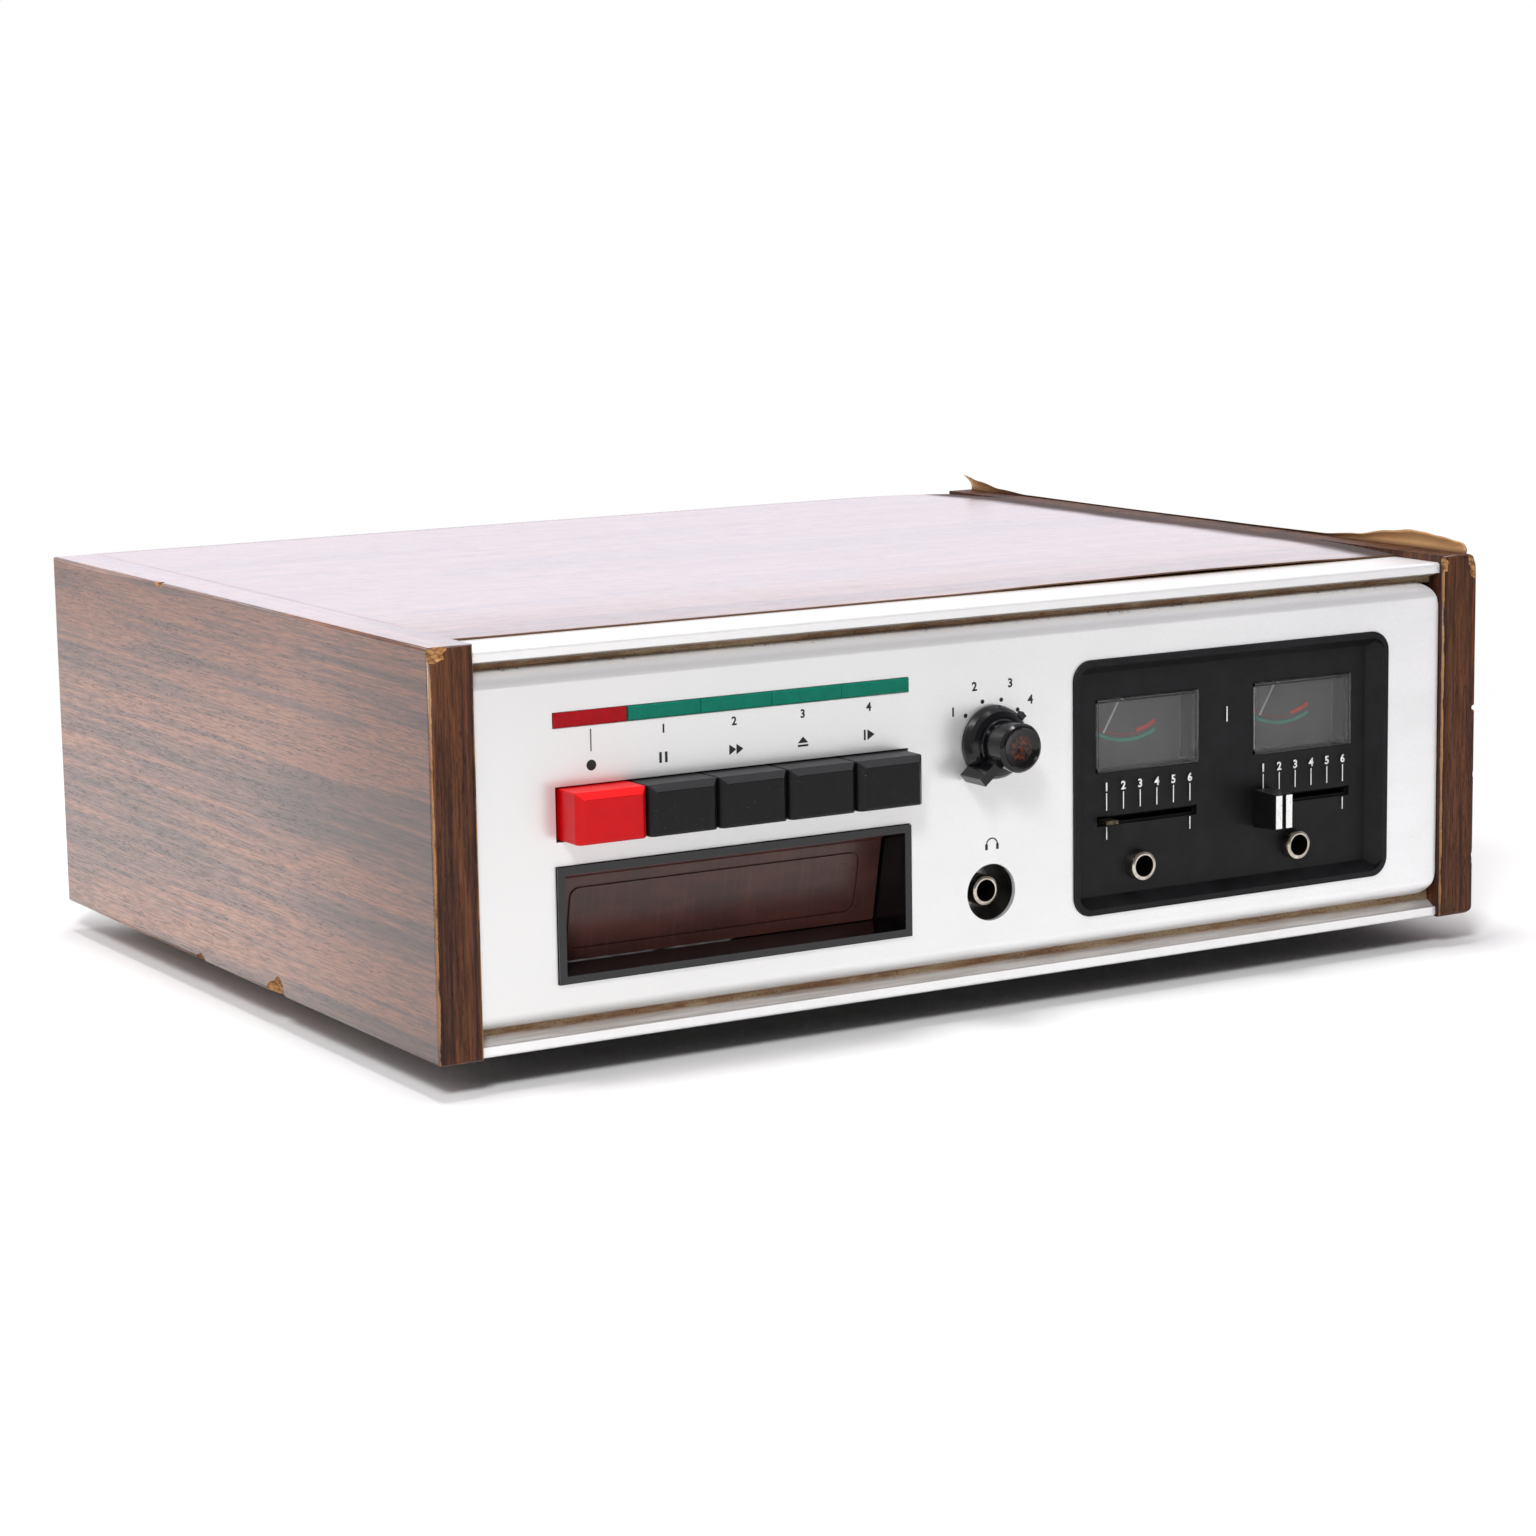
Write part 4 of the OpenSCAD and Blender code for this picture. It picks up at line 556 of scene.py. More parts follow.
vinyl_edge = Surface("vinyl_edge", roughness=0.6).colour(srgb(92, 62, 40))
dull_steel = metal("dull_steel", srgb(112, 104, 84), srgb(54, 46, 36), 0.4, 1.2 * MM)
white_ink = ink("white_ink", srgb(240, 240, 238), srgb(150, 150, 150))
black_ink = ink("black_ink", srgb(12, 12, 14), srgb(40, 40, 42))
green_ink = ink("green_ink", srgb(66, 168, 140), srgb(52, 140, 118))
red_ink = ink("red_ink", srgb(232, 74, 56), srgb(210, 64, 50))
dull_red_ink = ink("dull_red_ink", srgb(160, 72, 60), srgb(132, 66, 56))


# ---- Mesh helpers -------------------------------------------------------------

def piece(name, bm, body, slot, *skins, smooth=False, bevel=0.0):
    """Makes a bmesh a piece of the object and lets it ride on a body."""
    bmesh.ops.recalc_face_normals(bm, faces=bm.faces[:])
    mesh = bpy.data.meshes.new(name)
    bm.to_mesh(mesh)
    bm.free()
    obj = bpy.data.objects.new(name, mesh)
    bpy.context.collection.objects.link(obj)
    for skin in skins:
        mesh.materials.append(skin.material)
    if smooth:
        mesh.polygons.foreach_set("use_smooth", [True] * len(mesh.polygons))
    if bevel:
        round_edges(obj, bevel)
    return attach(obj, body)


def round_edges(obj, width, segments=2, limit=30):
    """Welds the mesh and gives its sharp edges a small round that catches light."""
    weld = obj.modifiers.new("weld", "WELD")
    weld.merge_threshold = SAME
    bevel = obj.modifiers.new("round", "BEVEL")
    bevel.width = width
    bevel.segments = segments
    bevel.limit_method = "ANGLE"
    bevel.angle_limit = math.radians(limit)
    bevel.use_clamp_overlap = True
    bevel.miter_outer = "MITER_ARC"
    normals = obj.modifiers.new("normals", "WEIGHTED_NORMAL")
    normals.keep_sharp = True


def add_prism(bm, outline, y, depth):
    """A closed outline of (x, z) points, raised by depth towards the front from y."""
    front = [bm.verts.new((x, y - depth, z)) for x, z in outline]
    back = [bm.verts.new((x, y, z)) for x, z in outline]
    bm.faces.new(front)
    bm.faces.new(back[::-1])
    for i in range(len(front)):
        j = (i + 1) % len(front)
        bm.faces.new((front[i], back[i], back[j], front[j]))


def box_outline(x, z, w, h):
    return [(x - w / 2, z - h / 2), (x + w / 2, z - h / 2),
            (x + w / 2, z + h / 2), (x - w / 2, z + h / 2)]


def circle_outline(x, z, r, count=20):
    return [(x + r * math.cos(a), z + r * math.sin(a))
            for a in (2 * math.pi * i / count for i in range(count))]


def arc_outline(x, z, r, start, end, width, count=16):
    """A curved band of radius r between two angles in degrees."""
    angles = [math.radians(start + (end - start) * i / count) for i in range(count + 1)]
    outer = [(x + (r + width / 2) * math.cos(a), z + (r + width / 2) * math.sin(a))
             for a in angles]
    inner = [(x + (r - width / 2) * math.cos(a), z + (r - width / 2) * math.sin(a))
             for a in angles]
    return outer + inner[::-1]


def add_text(bm, text, x, z, height, y, depth, bold=0.0):
    """Characters centred on (x, z), printed towards the front on the plane y."""
    curve = bpy.data.curves.new("lettering", "FONT")
    curve.body = text
    curve.align_x = "CENTER"
    curve.offset = bold
    curve.extrude = 0.0
    curve.resolution_u = 3
    holder = bpy.data.objects.new("lettering", curve)
    bpy.context.collection.objects.link(holder)
    bpy.context.view_layer.update()
    mesh = bpy.data.meshes.new_from_object(holder)
    high = max(v.co.y for v in mesh.vertices)
    low = min(v.co.y for v in mesh.vertices)
    mid = (max(v.co.x for v in mesh.vertices) + min(v.co.x for v in mesh.vertices)) / 2
    k = height / (high - low)
    mesh.transform(Matrix(((k, 0, 0, x - mid * k), (0, 0, -1, y - depth),
                           (0, k, 0, z - (high + low) / 2 * k), (0, 0, 0, 1))))
    start = len(bm.faces)
    bm.from_mesh(mesh)
    bm.faces.ensure_lookup_table()
    faces = bm.faces[start:]
    skirt = bmesh.ops.extrude_face_region(bm, geom=faces, use_keep_orig=True)
    for v in (g for g in skirt["geom"] if isinstance(g, bmesh.types.BMVert)):
        v.co.y += depth
    bpy.data.objects.remove(holder)
    bpy.data.meshes.remove(mesh)
    bpy.data.curves.remove(curve)


# ---- Carried-over nodes ---------------------------------------------------------

for name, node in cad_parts.items():
    slot_name = node.material_slots[0].material.name
    skin = SKINS[slot_name]
    if name in ("top_rail", "bottom_rail"):
        skin = rail_skin
    if name == "selector_knob":
        skin = knob_gloss()
    if name == "left_volume_lever":
        skin = dull_steel
    if name == "volume_controls":
        skin = SKINS["dark_plastic"]
    node.material_slots[0].material = skin.material

ROUNDED = {
    "slot_frame": 0.35 * MM, "meter_frame": 0.4 * MM, "cartridge_door": 0.3 * MM,
    "record_key": 0.35 * MM, "pause_key": 0.35 * MM, "forward_key": 0.35 * MM,
    "eject_key": 0.35 * MM, "channel_key": 0.35 * MM, "right_volume_knob": 0.25 * MM,
    "record_lens": 0.25 * MM, "channel_lens": 0.25 * MM,
    "left_volume_lever": 0.2 * MM, "right_volume_lever": 0.2 * MM,
    "left_meter_cover": 0.3 * MM, "right_meter_cover": 0.3 * MM,
    "top_rail": 0.25 * MM, "bottom_rail": 0.25 * MM, "top_panel": 0.4 * MM,
    "back_panel": 0.2 * MM, "fascia": 0.2 * MM,
}
for name, width in ROUNDED.items():
    round_edges(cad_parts[name], width)


# ---- Dirt in the grooves ------------------------------------------------------------

def dirt_strip(name, depth, z_low, z_high, seed):
    """Uneven strip that closes a groove at some depth behind the fascia's front."""
    lo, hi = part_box("top_rail")
    count = 340
    back = lo.y + depth + 2.2 * MM
    bm = bmesh.new()
    rows = []
    for i in range(count + 1):
        x = lo.x + (hi.x - lo.x) * i / count
        y = lo.y + depth
        y += 0.5 * MM * noise.noise(Vector((x * 260, seed, 0)))
        y += 0.7 * MM * noise.noise(Vector((x * 40, seed, 5)))
        rows.append([bm.verts.new((x, yy, z)) for yy, z in (
            (y, z_low), (back, z_low), (back, z_high), (y, z_high))])
    for a, b in zip(rows, rows[1:]):
        for k in range(4):
            m = (k + 1) % 4
            bm.faces.new((a[k], a[m], b[m], b[k]))
    bm.faces.new(rows[0])
    bm.faces.new(rows[-1][::-1])
    piece(name, bm, "cabinet", "hardboard", dirt_skin, smooth=False)


face_lo, face_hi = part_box("fascia")
dirt_strip("dirt_top", 4.6 * MM, face_hi.z - 0.7 * MM, face_hi.z + 1.6 * MM, 1.3)
dirt_strip("dirt_bottom", 4.4 * MM, face_lo.z - 1.9 * MM, face_lo.z + 0.9 * MM, 8.1)


# ---- Side panels with their chips ---------------------------------------------------

# Places of a worn panel's skins: its edge, the raw board and the glossy top
EDGE, RAW, GLOSSY = 1, 2, 3
# Places of a sheet's skins: its far face and its rim
FAR_FACE, RIM = 1, 2


def chip(centre, size, seed):
    """A rough lump that bites particle board out of an edge."""
    bm = bmesh.new()
    bmesh.ops.create_icosphere(bm, subdivisions=3, radius=1.0)
    for v in bm.verts:
        lump = 1 + 0.45 * noise.noise(v.co * 1.7 + Vector((seed, 0, 0)))
        lump += 0.2 * noise.noise(v.co * 5 + Vector((0, seed, 0)))
        v.co = Vector(c + d * s * lump for c, d, s in zip(centre, v.co, size))
    return bm


def worn_panel(tag, chips, bare_top=False):
    """Copy of a side panel whose vinyl is chipped down to the board."""
    node = f"{tag}_side_panel"
    out = -1 if tag == "left" else 1
    skins = [side_skins[tag], edge_skins[tag], SKINS["raw_wood"], side_top_skin]
    cutter = bmesh.new()
    for i, (centre, size) in enumerate(chips):
        lump = chip(centre, size, i * 7.3)
        mesh = bpy.data.meshes.new("lump")
        lump.to_mesh(mesh)
        lump.free()
        cutter.from_mesh(mesh)
        bpy.data.meshes.remove(mesh)
    for face in cutter.faces:
        face.material_index = RAW
    cut_mesh = bpy.data.meshes.new("cutter")
    cutter.to_mesh(cut_mesh)
    cutter.free()
    knife = bpy.data.objects.new("cutter", cut_mesh)
    bpy.context.collection.objects.link(knife)

    bm = bmesh.new()
    bm.from_mesh(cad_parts[node].data)
    bmesh.ops.remove_doubles(bm, verts=bm.verts[:], dist=SAME)
    for face in bm.faces:
        if face.normal.z > 0.9:
            face.material_index = EDGE if bare_top else GLOSSY
        elif face.normal.y < -0.7 or face.normal.x * out < -0.9:
            face.material_index = EDGE
    name = f"{tag}_side_worn"
    mesh = bpy.data.meshes.new(name)
    bm.to_mesh(mesh)
    bm.free()
    obj = bpy.data.objects.new(name, mesh)
    bpy.context.collection.objects.link(obj)
    for skin in skins:
        mesh.materials.append(skin.material)
        cut_mesh.materials.append(skin.material)
    cut = obj.modifiers.new("chips", "BOOLEAN")
    cut.operation = "DIFFERENCE"
    cut.solver = "EXACT"
    cut.material_mode = "TRANSFER"
    cut.object = knife
    bpy.context.view_layer.update()
    done = bpy.data.meshes.new_from_object(
        obj.evaluated_get(bpy.context.evaluated_depsgraph_get()))
    obj.modifiers.clear()
    obj.data = done
    for face in done.polygons:
        face.use_smooth = max(abs(v) for v in face.normal) < 0.999
    bpy.data.objects.remove(knife)
    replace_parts(obj, node)
    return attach(obj, "cabinet")


left_lo, left_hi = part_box("left_side_panel")
right_lo, right_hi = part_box("right_side_panel")
worn_panel("left", [
    ((left_lo.x, -24 * MM, left_lo.z), (2.2 * MM, 6.4 * MM, 5.4 * MM)),
    ((left_lo.x, 33 * MM, left_lo.z), (1.6 * MM, 3.4 * MM, 2.2 * MM)),
    ((left_lo.x, 55 * MM, left_hi.z), (1.6 * MM, 3.0 * MM, 1.2 * MM)),
    ((left_lo.x + 2 * MM, left_lo.y, left_hi.z - MM), (4.2 * MM, 1.1 * MM, 3.0 * MM)),
])
worn_panel("right", [
    ((right_hi.x, right_lo.y, 75 * MM), (1.6 * MM, 1.6 * MM, 1.4 * MM)),
    ((right_hi.x, right_lo.y, 54 * MM), (0.7 * MM, 1.4 * MM, 1.6 * MM)),
    ((right_hi.x, right_lo.y, 28 * MM), (1.0 * MM, 1.4 * MM, 3.0 * MM)),
    ((right_hi.x - MM, right_lo.y, right_hi.z - 3 * MM), (2.6 * MM, 1.1 * MM, 4.2 * MM)),
    ((right_lo.x, right_lo.y, right_hi.z - 2.4 * MM), (2.0 * MM, 1.0 * MM, 2.6 * MM)),
], bare_top=True)


# ---- Top panel: board, and a laminate that lifts along its front ------------------------

def top_laminate():
    """Vinyl over the top board: it droops onto the top rail and lifts off it in places."""
    lo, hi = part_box("top_panel")
    rail_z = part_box("top_rail")[1].z
    thick = 0.45 * MM
    front = lo.y - 3.0 * MM
    columns, rows = 160, 90
    droop = 46 * MM
    dip_x, dip_w = 120 * MM, 46 * MM
    dip_y, dip_l = 110 * MM, 35 * MM
    # How far the front edge stands off the rail, in mm, along x in mm
    gaps = [(-167, 0.3), (-150, 0.15), (-60, 0.1), (0, 0.15), (45, 0.7), (90, 1.0),
            (130, 0.75), (150, 0.35), (167, 0.2)]

    def gap_at(x):
        for (a, p), (b, q) in zip(gaps, gaps[1:]):
            if x <= b * MM:
                u = (x / MM - a) / (b - a)
                return (p + (q - p) * u * u * (3 - 2 * u)) * MM
        return gaps[-1][1] * MM

    def height(x, y):
        edge = rail_z + thick + gap_at(x)
        u = min(max((y - front) / droop, 0.0), 1.0)
        share = u * (2 - u)
        wave = 0.14 * MM * noise.noise(Vector((x * 16, y * 16, 7.7)))
        right_dip = 1.2 * MM * max(0.0, (x - dip_x) / dip_w) ** 2
        right_dip *= max(0.0, (y - dip_y) / dip_l)
        return edge + (hi.z - edge) * share + min(wave, 0.0) * share - right_dip

    bm = bmesh.new()
    layers = []
    for drop in (0.0, thick):
        grid = [[bm.verts.new((lo.x + (hi.x - lo.x) * i / columns,
                               front + (hi.y - front) * j ** 1.25 / rows ** 1.25, 0))
                 for i in range(columns + 1)] for j in range(rows + 1)]
        for row in grid:
            for v in row:
                v.co.z = height(v.co.x, v.co.y) - drop
        layers.append(grid)
    top, under = layers
    for j in range(rows):
        for i in range(columns):
            bm.faces.new((top[j][i], top[j][i + 1], top[j + 1][i + 1], top[j + 1][i]))
            bm.faces.new((under[j][i], under[j + 1][i], under[j + 1][i + 1],
                          under[j][i + 1])).material_index = FAR_FACE
    rim = ([(0, i) for i in range(columns)] + [(j, columns) for j in range(rows)]
           + [(rows, i) for i in range(columns, 0, -1)] + [(j, 0) for j in range(rows, 0, -1)])
    for k, (j, i) in enumerate(rim):
        m, n = rim[(k + 1) % len(rim)]
        bm.faces.new((top[j][i], under[j][i], under[m][n], top[m][n])).material_index = RIM
    return piece("top_laminate", bm, "cabinet", "walnut", top_skin, SKINS["vinyl_back"],
                 vinyl_edge, smooth=True)


def top_board():
    """The board under the laminate, with the rebate for the back panel."""
    lo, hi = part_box("top_panel")
    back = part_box("back_panel")[0].y
    thick = 1.2 * MM
    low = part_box("top_rail")[1].z - 0.6 * MM
    rebate = lo.z + 5 * MM
    end = hi.y - 0.4 * MM
    slope = lo.y + 42 * MM
    profile = [(lo.y, lo.z), (back, lo.z), (back, rebate), (end, rebate),
               (end, hi.z - thick), (slope, hi.z - thick), (lo.y, low)]
    bm = bmesh.new()
    ends = [[bm.verts.new((x, y, z)) for y, z in profile] for x in (lo.x, hi.x)]
    for end in ends:
        bm.faces.new(end)
    for i in range(len(profile)):
        j = (i + 1) % len(profile)
        bm.faces.new((ends[0][i], ends[0][j], ends[1][j], ends[1][i]))
    obj = piece("top_board", bm, "cabinet", "walnut", SKINS["raw_wood"], bevel=0.3 * MM)
    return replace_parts(obj, "top_panel")


top_laminate()
top_board()


# ---- Loose vinyl along the right panel's top edge ----------------------------------------

def vinyl_lip():
    """Vinyl that stands off the right panel: a curl in front, a low lip, a tip behind."""
    lo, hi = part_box("right_side_panel")
    start, end = lo.y + 2 * MM, hi.y - 0.3 * MM
    rings, across = 170, 6
    thick = 0.4 * MM
    inset, foot, bulge = 3.6 * MM, 0.9 * MM, 0.8 * MM
    # Distance behind the front edge, rise above the panel and lean inwards, in mm
    shape = [(2, 3.2, 0.7), (4, 3.6, 0.9), (12, 4.8, 1.8), (24, 5.8, 2.6), (37, 4.4, 2.0),
             (54, 2.0, 0.9), (72, 0.7, 0.3), (110, 0.5, 0.2), (180, 0.35, 0.2),
             (240, 0.5, 0.4), (256, 1.6, 1.4), (268, 3.8, 2.6), (277, 5.6, 3.6)]

    def shape_at(y):
        d = (y - lo.y) / MM
        for (a, *p), (b, *q) in zip(shape, shape[1:]):
            if d <= b:
                u = max(0.0, (d - a) / (b - a))
                u = u * u * (3 - 2 * u)
                return [(m + (n - m) * u) * MM for m, n in zip(p, q)]
        return [v * MM for v in shape[-1][1:]]

    bm = bmesh.new()
    sheets = []
    for side in (0, 1):
        rows = []
        for i in range(rings + 1):
            y = start + (end - start) * i / rings
            tall, lean = shape_at(y)
            tall *= 1 + 0.05 * noise.noise(Vector((y * 150, 1.7, 0)))
            row = []
            for k in range(across + 1):
                u = k / across
                x = hi.x - inset + bulge * math.sin(math.pi * u) - lean * u * u
                z = hi.z - foot + foot * u + tall * u
                row.append(bm.verts.new((x + (thick * (1 - 0.6 * u) if side else 0), y, z)))
            rows.append(row)
        sheets.append(rows)
    inner, outer = sheets
    for i in range(rings):
        for k in range(across):
            bm.faces.new((inner[i][k], inner[i + 1][k], inner[i + 1][k + 1], inner[i][k + 1]))
            bm.faces.new((outer[i][k], outer[i][k + 1], outer[i + 1][k + 1],
                          outer[i + 1][k])).material_index = FAR_FACE
        for k in (0, across):
            bm.faces.new((inner[i][k], outer[i][k], outer[i + 1][k],
                          inner[i + 1][k])).material_index = RIM
    for i in (0, rings):
        for k in range(across):
            bm.faces.new((inner[i][k], inner[i][k + 1], outer[i][k + 1],
                          outer[i][k])).material_index = RIM
    obj = piece("vinyl_lip", bm, "cabinet", "vinyl_back", SKINS["vinyl_back"],
                edge_skins["right"], vinyl_edge, smooth=True)
    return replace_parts(obj, "lifted_vinyl")


vinyl_lip()


# ---- Printing on the fascia ---------------------------------------------------------------

PRINT = 0.04 * MM
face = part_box("fascia")[0].y


def printed(name, body, slot, skin, draw):
    bm = bmesh.new()
    draw(bm)
    return piece(name, bm, body, slot, skin)


def draw_fascia(bm):
    """Channel numbers over the lens, and a plain transport sign over each key."""
    y = face
    number_z, number_h = 95.2 * MM, 2.5 * MM
    record_x = -130.9 * MM
    for i, x in enumerate((-108.3, -85.9, -63.7, -41.9)):
        add_text(bm, str(i + 1), x * MM, number_z, number_h, y, PRINT, BOLD)
    add_prism(bm, box_outline(record_x, 94.1 * MM, 0.35 * MM, 6.2 * MM), y, PRINT)
    line = 87.2 * MM
    tall = 3.0 * MM
    add_prism(bm, circle_outline(record_x, line, tall * 0.5), y, PRINT)
    for dx in (-0.9, 0.9):
        add_prism(bm, box_outline((-108.5 + dx) * MM, line, 0.8 * MM, tall), y, PRINT)
    for dx in (-1.6, 0.7):
        x = (-86 + dx) * MM
        add_prism(bm, [(x, line - tall / 2), (x + 2.2 * MM, line), (x, line + tall / 2)],
                  y, PRINT)
    x = -63.7 * MM
    add_prism(bm, [(x - 1.7 * MM, line - 0.3 * MM), (x + 1.7 * MM, line - 0.3 * MM),
                   (x, line + tall / 2)], y, PRINT)
    add_prism(bm, box_outline(x, line - 1.05 * MM, 3.4 * MM, 0.6 * MM), y, PRINT)
    x = -41.7 * MM
    add_prism(bm, box_outline(x - 1.6 * MM, line, 0.6 * MM, tall), y, PRINT)
    add_prism(bm, [(x - 0.7 * MM, line - tall / 2), (x + 1.7 * MM, line),
                   (x - 0.7 * MM, line + tall / 2)], y, PRINT)


printed("key_marks", "cabinet", "black_matte", black_ink, draw_fascia)


def draw_selector(bm):
    """A dot and a number at each of the selector's four stops."""
    cx, cz = 0.0, SELECTOR_Z
    ring, dot, number_h = 12.4 * MM, 0.65 * MM, 2.7 * MM
    for angle in (137.3, 105.3, 74.8, 43.8):
        a = math.radians(angle)
        add_prism(bm, circle_outline(cx + ring * math.cos(a), cz + ring * math.sin(a), dot),
                  face, PRINT)
    for text, x, z in (("1", -13.4, 91.0), ("2", -6.0, 97.8), ("3", 6.4, 97.8),
                       ("4", 13.4, 92.4)):
        add_text(bm, text, x * MM, z * MM, number_h, face, PRINT, BOLD)


printed("selector_marks", "cabinet", "black_matte", black_ink, draw_selector)


def draw_headphones(bm):
    """A plain headband with two ear pads over the jack."""
    x, z = -0.3 * MM, 51.0 * MM
    add_prism(bm, arc_outline(x, z, 1.9 * MM, 0, 180, 0.4 * MM), face, PRINT)
    for side in (-1, 1):
        add_prism(bm, box_outline(x + side * 1.9 * MM, z - 0.6 * MM, 0.9 * MM, 1.7 * MM),
                  face, PRINT)


printed("phone_mark", "cabinet", "black_matte", black_ink, draw_headphones)


# ---- Meter panel --------------------------------------------------------------------------

# Middle of the meter panel, and how far each channel lies from it
METER_X = 87.3 * MM
CHANNEL = 29.1 * MM
# Height of the needles' axes
NEEDLE_Z = 97.4 * MM
TICK_PITCH = 6.12 * MM
floor_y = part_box("meter_frame")[0].y + 4.2 * MM


def draw_scales(bm):
    """Numbers and ticks over the two slide controls, and the line between the meters."""
    y = floor_y
    number_z, tick_z, end_z, middle_z = 63.1 * MM, 58.6 * MM, 49.2 * MM, 80.9 * MM
    for side in (-1, 1):
        first = METER_X + side * CHANNEL - 2.5 * TICK_PITCH
        for i in range(6):
            x = first + i * TICK_PITCH
            add_text(bm, str(i + 1), x, number_z, 2.6 * MM, y, PRINT, BOLD)
            add_prism(bm, box_outline(x, tick_z, 0.3 * MM, 5.2 * MM), y, PRINT)
            if i in (0, 5):
                add_prism(bm, box_outline(x, end_z, 0.3 * MM, 3.8 * MM), y, PRINT)
    add_prism(bm, box_outline(METER_X, middle_z, 0.36 * MM, 4.6 * MM), y, PRINT)


def draw_arcs(width, radius, start, end):
    def draw(bm):
        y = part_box("left_meter_case")[0].y
        for side in (-1, 1):
            x = METER_X + side * CHANNEL
            add_prism(bm, arc_outline(x, NEEDLE_Z, radius, start, end, width), y, 0.1 * MM)
    return draw


printed("volume_scales", "cabinet", "needle_white", white_ink, draw_scales)
printed("dial_green", "cabinet", "green_lens", green_ink,
        draw_arcs(0.9 * MM, 23 * MM, 238, 296))
printed("dial_red", "cabinet", "red_lens", red_ink,
        draw_arcs(1.1 * MM, 20.6 * MM, 279, 299))
printed("dial_dull_red", "cabinet", "red_lens", dull_red_ink,
        draw_arcs(0.4 * MM, 21.3 * MM, 238, 279))


def draw_knob_bars(bm):
    lo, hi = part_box("right_volume_knob")
    mid = (lo.x + hi.x) / 2
    for side in (-1, 1):
        add_prism(bm, box_outline(mid + side * 1.9 * MM, (lo.z + hi.z) / 2,
                                  2.3 * MM, hi.z - lo.z - 1.6 * MM), lo.y, PRINT)


printed("knob_bars", "right_volume", "needle_white", white_ink, draw_knob_bars)


# ---- Floor, light and camera --------------------------------------------------------------

def build_floor():
    """Pale sweep that keeps the shadow, and runs into white away from the object."""
    material = bpy.data.materials.new("studio_floor")
    material.use_nodes = True
    tree = material.node_tree
    tree.nodes.remove(tree.nodes["Principled BSDF"])
    pale = tree.nodes.new("ShaderNodeBsdfDiffuse")
    pale.inputs["Color"].default_value = (0.9, 0.9, 0.9, 1.0)
    white = tree.nodes.new("ShaderNodeEmission")
    shadow_reach, all_white = 0.30, 0.70
    place = tree.nodes.new("ShaderNodeNewGeometry").outputs["Position"]
    away = tree.nodes.new("ShaderNodeVectorMath")
    away.operation = "LENGTH"
    tree.links.new(place, away.inputs[0])
    span = tree.nodes.new("ShaderNodeMapRange")
    span.interpolation_type = "SMOOTHSTEP"
    span.inputs["From Min"].default_value = shadow_reach
    span.inputs["From Max"].default_value = all_white
    tree.links.new(away.outputs["Value"], span.inputs["Value"])
    path = tree.nodes.new("ShaderNodeLightPath")
    seen = tree.nodes.new("ShaderNodeMath")
    seen.operation = "MULTIPLY"
    tree.links.new(path.outputs["Is Camera Ray"], seen.inputs[0])
    tree.links.new(span.outputs["Result"], seen.inputs[1])
    pick = tree.nodes.new("ShaderNodeMixShader")
    tree.links.new(seen.outputs[0], pick.inputs["Fac"])
    tree.links.new(pale.outputs[0], pick.inputs[1])
    tree.links.new(white.outputs[0], pick.inputs[2])
    tree.links.new(pick.outputs[0], tree.nodes["Material Output"].inputs["Surface"])
    bm = bmesh.new()
    bmesh.ops.create_grid(bm, x_segments=4, y_segments=4, size=6.0)
    mesh = bpy.data.meshes.new("studio_floor")
    bm.to_mesh(mesh)
    bm.free()
    mesh.materials.append(material)
    floor = bpy.data.objects.new("studio_floor", mesh)
    bpy.context.collection.objects.link(floor)


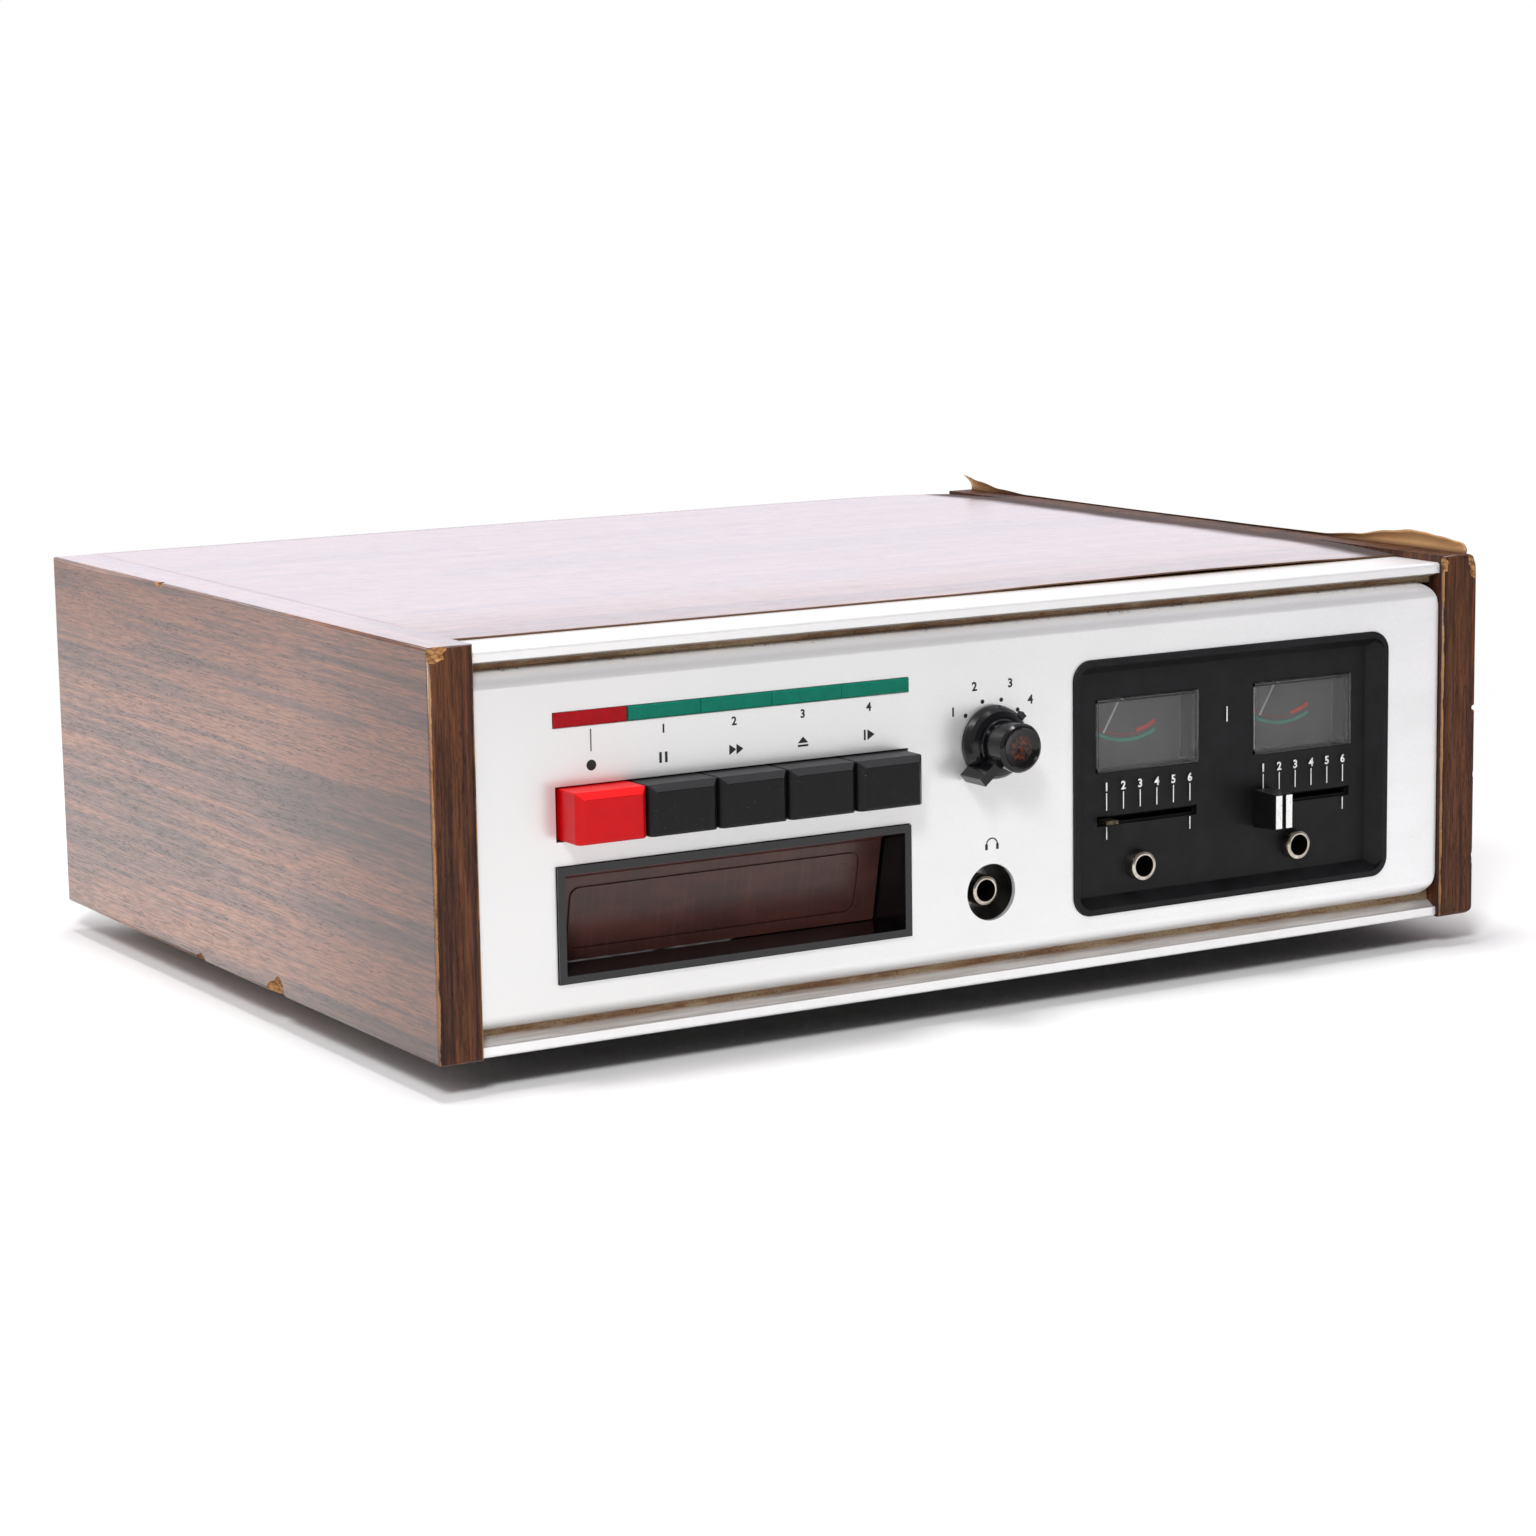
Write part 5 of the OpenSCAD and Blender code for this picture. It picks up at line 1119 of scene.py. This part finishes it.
def build_world(sky, front):
    """White to the camera. Reflections see white behind and a dimmer room in front.

    The light itself comes from a dome that is dim at the horizon.
    """
    world = bpy.data.worlds.new("studio")
    bpy.context.scene.world = world
    world.use_nodes = True
    tree = world.node_tree

    def span(value, low, high, to_low, to_high):
        node = tree.nodes.new("ShaderNodeMapRange")
        tree.links.new(value, node.inputs["Value"])
        for key, number in (("From Min", low), ("From Max", high), ("To Min", to_low),
                            ("To Max", to_high)):
            node.inputs[key].default_value = number
        return node

    path = tree.nodes.new("ShaderNodeLightPath")
    direction = tree.nodes.new("ShaderNodeTexCoord").outputs["Generated"]
    axes = tree.nodes.new("ShaderNodeSeparateXYZ")
    tree.links.new(direction, axes.inputs[0])
    room = span(axes.outputs[1], -0.7, 0.1, front, 1.0).outputs["Result"]
    shiny = tree.nodes.new("ShaderNodeMath")
    shiny.operation = "MAXIMUM"
    tree.links.new(path.outputs["Is Glossy Ray"], shiny.inputs[0])
    tree.links.new(path.outputs["Is Transmission Ray"], shiny.inputs[1])
    gloss = span(shiny.outputs[0], 0.0, 1.0, sky, 1.0)
    dome = span(axes.outputs[2], 0.0, 0.6, 0.25 * sky, 1.45 * sky).outputs["Result"]
    tree.links.new(dome, gloss.inputs["To Min"])
    tree.links.new(room, gloss.inputs["To Max"])
    final = span(path.outputs["Is Camera Ray"], 0.0, 1.0, 0.0, 1.0)
    tree.links.new(gloss.outputs["Result"], final.inputs["To Min"])
    tint = tree.nodes.new("ShaderNodeMix")
    tint.data_type = "RGBA"
    tree.links.new(path.outputs["Is Camera Ray"], tint.inputs["Factor"])
    tint.inputs[6].default_value = (0.99, 0.94, 1.0, 1.0)
    tint.inputs[7].default_value = (1.0, 1.0, 1.0, 1.0)
    back = tree.nodes["Background"]
    tree.links.new(tint.outputs[2], back.inputs["Color"])
    tree.links.new(final.outputs["Result"], back.inputs["Strength"])


def build_lamp(name, place, target, size, power):
    lamp = bpy.data.lights.new(name, "AREA")
    lamp.shape = "RECTANGLE"
    lamp.size, lamp.size_y = size
    lamp.energy = power
    obj = bpy.data.objects.new(name, lamp)
    obj.location = place
    obj.rotation_euler = (Vector(target) - Vector(place)).to_track_quat("-Z", "Y").to_euler()
    bpy.context.collection.objects.link(obj)


def build_camera():
    lens_mm = 91.35
    place = (-0.6211, -1.05185, 0.2592)
    turn = (80.5517, 0.9032, -30.7750)
    camera = bpy.data.objects.new("camera", bpy.data.cameras.new("camera"))
    camera.data.lens = lens_mm
    camera.data.sensor_width = 36.0
    camera.data.clip_start = 0.05
    camera.location = place
    camera.rotation_euler = [math.radians(a) for a in turn]
    bpy.context.collection.objects.link(camera)
    bpy.context.scene.camera = camera


build_floor()
build_world(0.27, 0.25)
build_lamp("overhead", (-0.1, 0.0, 1.85), (0, 0, 0.05), (0.55, 0.55), 22.5)
build_lamp("front_left", (-0.98, -1.28, 1.28), (0, 0, 0.06), (0.4, 0.4), 25.0)
build_lamp("rear_left", (-0.9, 0.9, 0.55), (-0.18, 0.05, 0.06), (0.5, 0.5), 3.0)
build_camera()
bpy.context.scene.view_settings.view_transform = "Standard"

bpy.context.view_layer.update()
